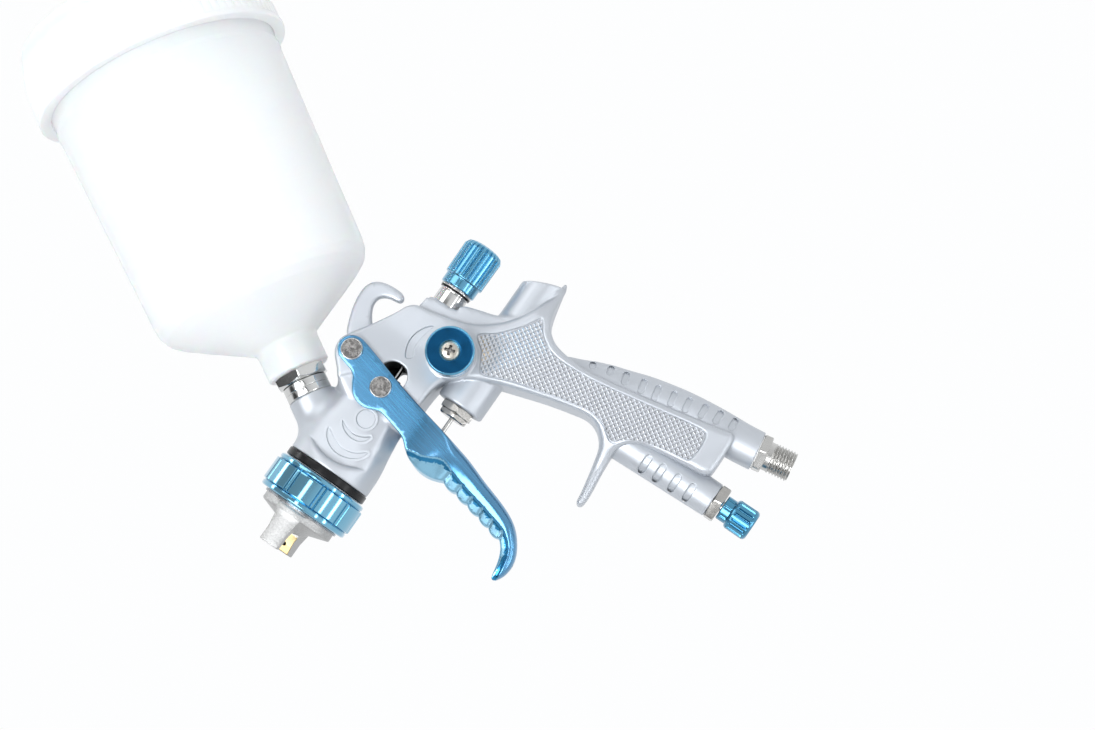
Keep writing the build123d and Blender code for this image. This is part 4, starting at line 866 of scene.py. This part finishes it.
def head_disc(name, fr, prof, body, mats, node, tf=None, seg=96, rings=0.14, pick=None, above=0.0):
    """A turned head whose face can be pressed in along the axis."""
    o, a, u, v = fr
    p = soften(prof, False)
    dense = []
    for q, w in zip(p[:-1], p[1:]):
        k = max(1, int(math.ceil(math.dist(q, w) / rings)))
        dense += [(q[0] + (w[0] - q[0]) * j / k, q[1] + (w[1] - q[1]) * j / k) for j in range(k)]
    dense.append(p[-1])
    p = np.array(dense)
    th = np.arange(seg) * 2 * math.pi / seg
    T, R, TH = np.repeat(p[:, :1], seg, 1), np.repeat(p[:, 1:2], seg, 1), np.repeat(th[None], len(p), 0)
    if tf is not None:
        T = np.where(T > above, tf(TH, T, R), T)
    co = o + T[..., None] * a + R[..., None] * (np.cos(TH)[..., None] * u + np.sin(TH)[..., None] * v)
    idx = np.arange(len(p) * seg).reshape(len(p), seg)
    nx = np.roll(idx, -1, 1)
    quads = np.concatenate([np.stack([idx[i], nx[i], nx[i + 1], idx[i + 1]], 1) for i in range(len(p) - 1)])
    me = bpy.data.meshes.new(name)
    me.from_pydata((co.reshape(-1, 3) * MM).tolist(), [], quads.tolist())
    bm = bmesh.new(); bm.from_mesh(me)
    bmesh.ops.remove_doubles(bm, verts=bm.verts, dist=1.2e-6)
    bmesh.ops.dissolve_degenerate(bm, edges=bm.edges, dist=1e-7)
    bmesh.ops.recalc_face_normals(bm, faces=bm.faces)
    if pick is not None:
        O, A = Vector(o * MM), Vector(a)
        for f in bm.faces:
            c = f.calc_center_median() - O
            t = c.dot(A)
            f.material_index = pick(t * 1000, (c - A * t).length * 1000, f.normal.dot(A))
    bm.to_mesh(me); bm.free()
    return finish_piece(me, name, body, mats, node, sharp=30)


def make_turned():
    # black seal ring behind the cap ring, snap ring on the cap
    rev("head_seal_ring_moulded", FR_Y, [(25.6, 17.43), (25.6, 18.7, 0.4), (26.0, 19.15, 0.4), (28.8, 19.15, 0.5), (29.2, 18.7, 0.4), (29.2, 17.43)],
        "body", [M_BLACK], "head_seal_ring", seg=160, closed=True, sub=0.8)
    rev("cap_snap_ring_wire", FR_Y, [(8.3, 16.63), (8.3, 17.3, 0.15), (8.55, 17.5, 0.15), (8.75, 17.2, 0.1), (8.95, 17.5, 0.15), (9.35, 17.35, 0.1), (9.35, 16.63)],
        "air_cap", [M_SPRING], "cap_snap_ring", seg=160, closed=True)
    # fluid knob: smooth collar, 24 flutes, domed rear edge
    rev("fluid_knob_anodised", FR_Y,
        [(122.4, 5.68), (122.4, 7.5, 0.2), (122.9, 8.0, 0.3), (126.9, 8.05, 0.2), (127.3, 8.8, 0.4), (141.6, 9.0, 0.5), (143.4, 8.0, 1.2), (144.2, 6.2, 0.8),
         (144.2, 0), (136.8, 0), (136.8, 5.68)], "fluid_knob", [M_BLUE], "fluid_knob", seg=576, closed=True,
        rf=flutes(24, 0.95, 127.5, 143.9, width=0.52, power=1.2, ramp=1.6, rmin=6.0), sub=0.8, sharp=60)
    rev("guide_sleeve_chromed", FR_Y,
        [(101.2, 4.5), (101.2, 5.9), (114.05, 5.9), (114.05, 6.5), (114.3, 6.5, 0.1), (119.6, 6.5, 0.2), (120.0, 6.15, 0.1), (120.3, 6.5, 0.1), (120.6, 6.5),
         (120.6, 5.6), (135.5, 5.6), (135.5, 1.36), (131.5, 1.36), (131.5, 3.95), (121.0, 3.95), (121.0, 4.5)], "body", [M_CHROME], "guide_sleeve", seg=96, closed=True)
    rev("sleeve_lock_ring_front", FR_Y, [(120.75, 5.65), (120.75, 7.0, 0.15), (121.35, 7.0, 0.15), (121.35, 5.65)], "body", [M_BLACK],
        "sleeve_lock_rings", seg=96, closed=True)
    rev("sleeve_lock_ring_rear", FR_Y, [(121.45, 5.65), (121.45, 7.3, 0.15), (122.05, 7.3, 0.15), (122.05, 5.65)], "body", [M_TURNED],
        "sleeve_lock_rings", seg=96, closed=True)
    # fan knob and its screw
    rev("fan_knob_anodised", FR_FAN,
        [(16.2, 3.02), (16.2, 9.3, 0.3), (16.7, 9.9, 0.3), (22.8, 9.9, 0.15), (23.1, 10.2, 0.2), (25.5, 10.3, 0.3), (26.1, 9.8, 0.15), (26.2, 9.62, 0.08), (25.94, 9.42, 0.05),
         (25.9, 4.35, 0.1), (25.5, 4.15), (24.2, 4.15), (24.2, 3.02)], "fan_knob", [M_BLUE, M_FAN_FACE_PAINTED_REFLECTION], "fan_knob", seg=288, closed=True,
        rf=flutes(48, 0.4, 16.6, 23.0, width=0.6, ramp=0.5, rmin=9.0), sub=0.6, sharp=30,
        # the flat face takes the darker blue, a painted dark reflection
        pick=lambda t, r, n: 1 if (n > 0.9 and 4.3 < r < 9.46 and t > 25) else 0)
    head_disc("fan_knob_screw_head", FR_FAN,
              [(21.1, 0), (21.1, 2.9), (24.25, 2.9), (24.25, 4.05, 0.1), (25.5, 4.05, 0.35), (26.35, 3.2, 0.5), (26.6, 1.6), (26.62, 0)], "fan_knob", [M_SCREW, M_RIVET_AND_RECESS_SHADE],
              "fan_knob_screw", tf=screw_recess(0.60, 2.2, 1.4, math.radians(18)), seg=144, rings=0.12, above=25.9,
              # the cross recess takes the dark rivet finish as painted shade
              pick=lambda t, r, n: 1 if (r < 2.3 and t < 26.25) else 0)
    rev("fan_valve_bushing_turned", FR_FAN, [(3.1, 3.05), (3.1, 7.0), (13.5, 7.0), (13.5, 8.6), (15.2, 8.6, 0.3), (15.6, 8.2, 0.2), (15.6, 3.05)], "body", [M_BRASS],
        "fan_valve_bushing", seg=96, closed=True)
    # trigger pins and their heads
    face = [(17.25, 4.6, 0.25), (17.70, 4.32, 0.12), (17.72, 4.20, 0.05), (17.60, 4.08, 0.05), (17.64, 1.5), (17.64, 0)]
    pk = lambda t, r, n: 1 if (n > 0.5 and r < 4.16 and t > 17) else 0
    for sgn, tag in ((1, "left"), (-1, "right")):
        fr = frame_of((0, 69.4, 0.2), (sgn, 0, 0), (0, 0, 1))
        head_disc("needle_pull_pin_" + tag, fr, [(3.4, 0), (3.4, 2.28, 0.2), (16.45, 2.28), (16.45, 4.5, 0.1), (16.55, 4.6, 0.1)] + face, "trigger",
                  [M_CHROME, M_RIVET_AND_RECESS_SHADE], "needle_pull_pins", rings=0.8, pick=pk)
    fr = frame_of((0, 75.7, 19.2), (1, 0, 0), (0, 0, 1))
    rev("trigger_pivot_pin_turned", fr, [(-13.0, 1.5), (-13.0, 3.0, 0.2), (16.5, 3.0), (16.5, 4.6, 0.1), (17.25, 4.6, 0.25), (17.70, 4.32, 0.12), (17.72, 4.20, 0.05),
        (17.60, 4.08, 0.05), (17.64, 0), (-4.1, 0), (-4.1, 1.5)], "body", [M_CHROME, M_RIVET_AND_RECESS_SHADE], "trigger_pivot_pin", seg=96, closed=True, pick=pk)
    fr = frame_of((0, 75.7, 19.2), (-1, 0, 0), (0, 0, 1))
    head_disc("trigger_pivot_screw_turned", fr, [(4.8, 0), (4.8, 1.43, 0.2), (13.05, 1.43), (13.05, 3.0), (16.5, 3.0), (16.5, 4.6, 0.1), (17.25, 4.6, 0.3), (17.85, 4.0, 0.3),
              (17.9, 0)], "body", [M_SCREW], "trigger_pivot_screw", rings=0.25, seg=144, above=17.3,
              tf=lambda TH, T, R: T - 0.95 * np.clip((0.62 - np.abs(R * np.cos(TH - 0.5))) / 0.15, 0, 1) * (R < 3.9))
    # air valve: stem, gland nut
    rev("air_valve_stem_ground", FR_VALVE, [(54.95, 0), (55.1, 0.55, 0.2), (55.6, 1.0, 0.3), (100.9, 1.0), (100.9, 0)], "air_valve", [M_TURNED],
        "air_valve_stem", seg=40, sub=4)

    def nut(TH, T, R):
        af = np.where(T < 78.55, 12.2, 14.0)
        k = np.mod(TH - math.radians(4), math.pi / 3) - math.pi / 6
        return np.where(R > 5.3, np.minimum(R, af / 2 / np.cos(k)), R)
    rev("air_valve_nut_hex", FR_VALVE,
        [(76.3, 1.08), (76.3, 5.5, 0.1), (76.9, 6.6), (78.1, 7.1, 0.1), (78.5, 6.4, 0.05), (78.6, 6.6, 0.05), (79.2, 7.9), (81.3, 8.1), (81.9, 7.2, 0.1), (81.9, 5.0), (89.5, 5.0), (89.5, 1.08)],
        "body", [M_NICKEL], "air_valve_nut", seg=180, closed=True, rf=nut, sub=0.25, sharp=24)
    # inlet fitting and cup nut
    rev("fluid_inlet_fitting_chromed", FR_CUP,
        [(17.1, 3.92), (17.1, 6.5), (28.6, 6.5), (28.6, 9.4, 0.1), (29.0, 9.7, 0.3), (31.6, 9.7, 0.1), (31.9, 9.4, 0.1), (32.2, 9.7, 0.1), (34.8, 9.7, 0.3), (35.2, 9.3, 0.1), (35.2, 7.5), (50.5, 7.5), (50.5, 3.92)],
        "body", [M_CHROME], "fluid_inlet_fitting", seg=128, closed=True)

    def cnut(TH, T, R):
        k = np.mod(TH - 0.0, math.pi / 3) - math.pi / 6
        return np.where((R > 9.95) & (T < 40.2), np.minimum(R, 10.6 / np.cos(k)), R)
    rev("cup_nut_hex", FR_CUP, [(35.3, 7.56), (35.3, 9.9, 0.1), (36.6, 12.1), (39.4, 12.2), (40.1, 11.0, 0.1), (40.1, 9.9), (51.5, 9.9), (51.5, 7.56)], "cup", [M_CHROME],
        "cup_nut", seg=240, closed=True, rf=cnut, sub=0.3, sharp=24)
    # cup and lid
    rev("cup_moulded", FR_CUP,
        [(40.3, 9.97), (40.3, 12.9, 0.3), (40.9, 13.4, 0.4), (51.5, 13.5), (53.6, 14.0, 1.5), (60.3, 25.0, 2), (65.0, 32.8), (70.2, 41.1, 3), (73.6, 45.4, 3), (77.5, 47.3, 2), (82.0, 47.9),
         (172.0, 51.1), (173.0, 51.4, 0.3), (175.0, 51.4, 0.3), (176.0, 51.1), (206.0, 50.9, 0.5), (206.0, 48.6, 0.5), (176.0, 48.8), (82.4, 45.7), (78.6, 45.0), (75.6, 43.4), (72.4, 39.6, 3),
         (67.3, 31.4), (62.6, 23.6, 2), (55.2, 11.0, 2), (53.6, 9.97)], "cup", [M_CUP], "cup", seg=192, closed=True, sub=3.0, sharp=40)
    rev("cup_lid_moulded", FR_CUP,
        [(180.5, 51.6), (180.5, 56.2, 0.4), (181.0, 56.6, 0.3), (182.6, 56.6, 0.3), (183.2, 56.2, 0.2), (190.0, 56.2), (202.0, 54.8, 2), (211.8, 52.0, 1.2), (213.0, 50.4, 1.2), (213.0, 38.2, 0.8), (210.5, 36.0, 0.8),
         (210.5, 8.1, 0.5), (215.4, 8.0, 0.3), (215.5, 6.1, 0.3), (212.5, 5.9), (212.5, 3.1), (208.1, 3.1), (208.1, 37.0), (209.4, 39.0), (209.4, 51.6)], "lid", [M_LID],
        "cup_lid", seg=540, closed=True, rf=flutes(90, 0.55, 183.4, 203.0, width=0.45, ramp=1.5, rmin=53.0), sub=2.0, sharp=40)
    rev("lid_vent_plug_moulded", FR_CUP, [(205.6, 0), (205.6, 2.3, 0.3), (207.0, 3.0, 0.2), (212.6, 3.0), (212.6, 5.5, 0.2), (217.4, 5.6, 0.8), (218.6, 4.4, 0.5), (218.6, 0)],
        "lid", [M_LID], "lid_vent_plug", seg=72)
    rev("lid_gasket_ring", FR_CUP, [(206.4, 47.5), (206.4, 51.3, 0.5), (209.3, 51.3, 0.5), (209.3, 47.5)], "lid", [M_RUBBER], "lid_gasket", seg=128, closed=True)
    # air inlet nipple with its thread
    def thread(TH, T, R):
        k = np.mod(TH, math.pi / 3) - math.pi / 6
        hx = np.where(T < -1.75, np.minimum(R, 7.45 / np.cos(k)), R)
        w = np.mod(T / 1.337 - TH / (2 * math.pi), 1.0)
        v = np.abs(w - 0.5) * 2
        cut = 0.80 * np.clip((v - 0.12) / 0.76, 0, 1) * np.clip((T - 0.4) / 0.8, 0, 1) * np.clip((9.9 - T) / 0.5, 0, 1)
        return np.where((R > 5.9) & (T > 0.3), hx - cut, np.where(R > 5.9, hx, R))
    rev("air_inlet_nipple_threaded", FR_INLET,
        [(-20, 4.2), (-20, 5.5), (-5.5, 5.5), (-5.5, 7.4, 0.1), (-5.1, 8.4), (-2.3, 8.6), (-1.8, 7.6, 0.1), (-1.8, 6.25, 0.2), (0.2, 6.2), (0.7, 6.55), (9.3, 6.58), (9.9, 6.0, 0.1), (9.9, 4.5, 0.2), (9.6, 4.2)],
        "body", [M_TURNED], "air_inlet_nipple", seg=144, closed=True, rf=thread, sub=0.14, sharp=50)
    # air control: hex body and fluted knob
    fr = frame_of((0, 109.8, 0), (0, 0, -1), (1, 0, 0))

    def ahex(TH, T, R):
        k = np.mod(TH - math.radians(0), math.pi / 3) - math.pi / 6
        return np.where((R > 5.6), np.minimum(R, 7.4 / np.cos(k)), R)
    rev("air_control_body_hex", fr, [(126.0, 2.55), (126.0, 5.5), (138.7, 5.5), (138.7, 7.3, 0.1), (139.2, 8.4), (142.3, 8.5), (142.9, 7.4, 0.1), (142.9, 2.55)], "body", [M_NICKEL],
        "air_control_body", seg=180, closed=True, rf=ahex, sub=0.3, sharp=24)
    head = flutes(16, 0.85, 148.9, 156.6, width=0.5, ramp=0.4, rmin=5.9)
    neck = flutes(8, 0.5, 143.8, 147.4, width=0.35, ramp=0.5, rmin=4.5)
    # the knob's darker blue is painted shade
    rev("air_control_knob_anodised", fr,
        [(143.3, 2.5), (143.3, 5.2, 0.2), (143.7, 5.4, 0.2), (147.4, 5.4, 0.3), (147.9, 6.3, 0.3), (148.6, 6.7, 0.3), (156.9, 6.75, 0.3), (157.6, 6.5, 0.4), (158.2, 5.7, 0.3), (158.2, 0), (152.05, 0), (152.05, 2.5)],
        "air_control", [M_BLUE_PAINTED_SHADE], "air_control_knob", seg=384, closed=True, rf=lambda a, t, r: neck(a, t, head(a, t, r)), sub=0.4, sharp=58)


# ------------------------------------------------------------------ build
make_body()
make_tubes()
make_panel(1, "grip_panel_left")
make_panel(-1, "grip_panel_right")
for side, tag in ((1, "left"), (-1, "right")):
    for P, what in ((ARC_BIG, "long_arc"), (ARC_SMALL, "short_arc"), (ARC_FAN, "fan_arc"), (DISC, "round_pad")):
        inlay("side_%s_%s" % (what, tag), P, side)
make_trigger()
make_cap()
make_ring()
make_turned()

INNER = {"air_distributor": M_PTFE, "fluid_nozzle": M_BRASS, "fluid_needle": M_CHROME, "needle_collar": M_CHROME, "needle_spring_seat": M_TURNED,
         "needle_packing": M_PTFE, "needle_packing_nut": M_TURNED, "needle_spring": M_SPRING, "fan_valve_spindle": M_TURNED, "air_valve_packing": M_PTFE,
         "air_valve_seat": M_BRASS, "air_valve_poppet": M_TURNED, "air_valve_spring": M_SPRING, "air_valve_plug": M_NICKEL, "cup_filter": M_FILTER,
         "inlet_seal": M_PTFE, "air_control_stem": M_TURNED, "air_control_oring": M_RUBBER}
for ob in bpy.data.objects:
    if ob.type == "MESH" and ob.name in INNER:
        ob.data.materials.clear()
        ob.data.materials.append(INNER[ob.name])

# ------------------------------------------------------------------ floor, light, camera
fm = Nodes("studio_floor")
fm.link(fm.ramp(fm.noise(fm.mapped(), 4.0, 2), [(0.3, (0.90, 0.90, 0.90)), (0.7, (0.93, 0.93, 0.93))]), fm.bsdf.inputs["Base Color"])
fm.set(Roughness=0.8)
me = bpy.data.meshes.new("studio_floor")
pts = [(math.cos(a) * 0.62, math.sin(a) * 0.62, -0.45) for a in np.linspace(0, 2 * math.pi, 65)[:-1]]
me.from_pydata(pts, [], [tuple(range(64))])
me.materials.append(fm.mat)
floor = bpy.data.objects.new("studio_floor", me)
bpy.context.scene.collection.objects.link(floor)
floor.visible_glossy = False                                      # mirror-like parts see the studio cards instead

CAM = Vector((950.437, 5.496, -149.588)) * MM
N = np.array((0.98771, -0.11677, -0.10391))
RT = np.array((-0.01951, 0.56746, -0.82317))
UP = np.array((0.15509, 0.81508, 0.55821))
cd = bpy.data.cameras.new("photo_camera")
cd.lens, cd.sensor_width, cd.clip_start, cd.clip_end = 75.4, 36.0, 0.05, 20.0
cam = bpy.data.objects.new("photo_camera", cd)
bpy.context.scene.collection.objects.link(cam)
m = Matrix.Identity(4)
for i in range(3):
    m[i][0], m[i][1], m[i][2] = RT[i], UP[i], N[i]
m[0][3], m[1][3], m[2][3] = CAM
cam.matrix_world = m
bpy.context.scene.camera = cam

world = bpy.data.worlds.new("studio")
bpy.context.scene.world = world
world.use_nodes = True
nt = world.node_tree
nt.nodes.clear()


def wn(kind, **p):
    n = nt.nodes.new(kind)
    for k, v in p.items():
        setattr(n, k, v)
    return n


def wmath(op, a, b=None, c=None):
    n = wn("ShaderNodeMath", operation=op)
    for i, s in enumerate((a, b, c)):
        if s is None:
            continue
        if isinstance(s, (int, float)):
            n.inputs[i].default_value = s
        else:
            nt.links.new(s, n.inputs[i])
    return n.outputs[0]


def wdot(vec, d):
    n = wn("ShaderNodeVectorMath", operation="DOT_PRODUCT")
    nt.links.new(vec, n.inputs[0])
    n.inputs[1].default_value = [float(x) for x in d]
    return n.outputs["Value"]


def wramp(v, a, b, lo=0.0, hi=1.0):
    n = wn("ShaderNodeMapRange", interpolation_type="SMOOTHSTEP")
    nt.links.new(v, n.inputs["Value"])
    for k, x in (("From Min", a), ("From Max", b), ("To Min", lo), ("To Max", hi)):
        n.inputs[k].default_value = x
    return n.outputs["Result"]


def unit(v):
    v = np.array(v, float)
    return v / np.linalg.norm(v)


D = wn("ShaderNodeTexCoord").outputs["Generated"]
c, u, r = wdot(D, N), wdot(D, UP), wdot(D, RT)
front = wmath("ADD", wramp(u, -0.7, 0.8, 0.43, 0.37), wramp(r, -0.75, 0.65, 0.06, 0.56))
back = wramp(u, -0.9, 0.9, 0.90, 1.02)                           # the pale table behind the gun
mix1 = wramp(c, -0.10, 0.10)
val = wmath("ADD", wmath("MULTIPLY", front, mix1), wmath("MULTIPLY", back, wmath("SUBTRACT", 1.0, mix1)))
dim = wmath("MULTIPLY", wramp(wdot(D, unit((0.980, 0.08, 0.19))), 0.940, 0.982, 0.0, 0.55),
            wramp(wmath("ABSOLUTE", wmath("SUBTRACT", wdot(D, (0, 1, 0)), 0.09)), 0.050, 0.070, 1.0, 0.0))
val = wmath("MULTIPLY", val, wmath("SUBTRACT", 1.0, dim))
card = unit(N * 0.34 - RT * 0.88 - UP * 0.33)                     # a small dark card that the cup nut's near facet mirrors
val = wmath("MULTIPLY", val, wramp(wdot(D, card), 0.955, 0.980, 1.0, 0.15))
soft = unit((0.83, -0.52, 0.22))                    # low soft box that runs a highlight down the trigger blade
val = wmath("ADD", val, wramp(wdot(D, soft), 0.912, 0.965, 0.0, 6.5))
for phi, w, amp in ((-88, 0.090, 5.5), (-12, 0.085, 4.6), (44, 0.060, 4.6), (69, 0.070, 5.5)):
    p = math.radians(phi)
    off = wmath("ABSOLUTE", wdot(D, (math.sin(p), 0, math.cos(p))))
    on = wramp(off, w, w * 0.6)
    on = wmath("MULTIPLY", on, wramp(wdot(D, (math.cos(p), 0, -math.sin(p))), 0.5, 0.7))
    on = wmath("MULTIPLY", on, wramp(wmath("ABSOLUTE", wmath("SUBTRACT", wdot(D, (0, 1, 0)), 0.13)), 0.34, 0.24))
    if phi == -12:                                               # the strip stops short of where the flat side faces would mirror it
        on = wmath("MULTIPLY", on, wramp(wdot(D, (0, 1, 0)), 0.022, 0.036, 1.0, 0.0))
    val = wmath("ADD", val, wmath("MULTIPLY", on, amp))
lp = wn("ShaderNodeLightPath")
mixv = wn("ShaderNodeMix", data_type="RGBA")
comb = wn("ShaderNodeCombineColor")
for i, k in enumerate((0.985, 1.0, 1.02)):
    nt.links.new(wmath("MULTIPLY", val, k), comb.inputs[i])
nt.links.new(lp.outputs["Is Camera Ray"], mixv.inputs["Factor"])
nt.links.new(comb.outputs["Color"], mixv.inputs[6])
mixv.inputs[7].default_value = (0.985, 0.99, 0.995, 1)
bg = wn("ShaderNodeBackground")
nt.links.new(mixv.outputs[2], bg.inputs["Color"])
out = wn("ShaderNodeOutputWorld")
nt.links.new(bg.outputs["Background"], out.inputs["Surface"])

for tag, d, size, power in (("key", N * 0.55 - RT * 0.45 + UP * 0.72, 0.50, 1.5), ("fill", N * 0.62 + RT * 0.66 - UP * 0.42, 0.40, 3.0)):
    ld = bpy.data.lights.new("studio_" + tag, "AREA")
    ld.shape, ld.size, ld.energy = "SQUARE", size, power
    lo = bpy.data.objects.new("studio_" + tag, ld)
    bpy.context.scene.collection.objects.link(lo)
    d = Vector(unit(d))
    lo.location = Vector((0, 0.075, -0.06) if tag == "key" else (0, 0.105, -0.115)) + d * (0.9 if tag == "key" else 0.7)
    lo.rotation_euler = d.to_track_quat("Z", "Y").to_euler()
    lo.visible_glossy = tag == "key"

bpy.context.scene.view_settings.view_transform = "Standard"
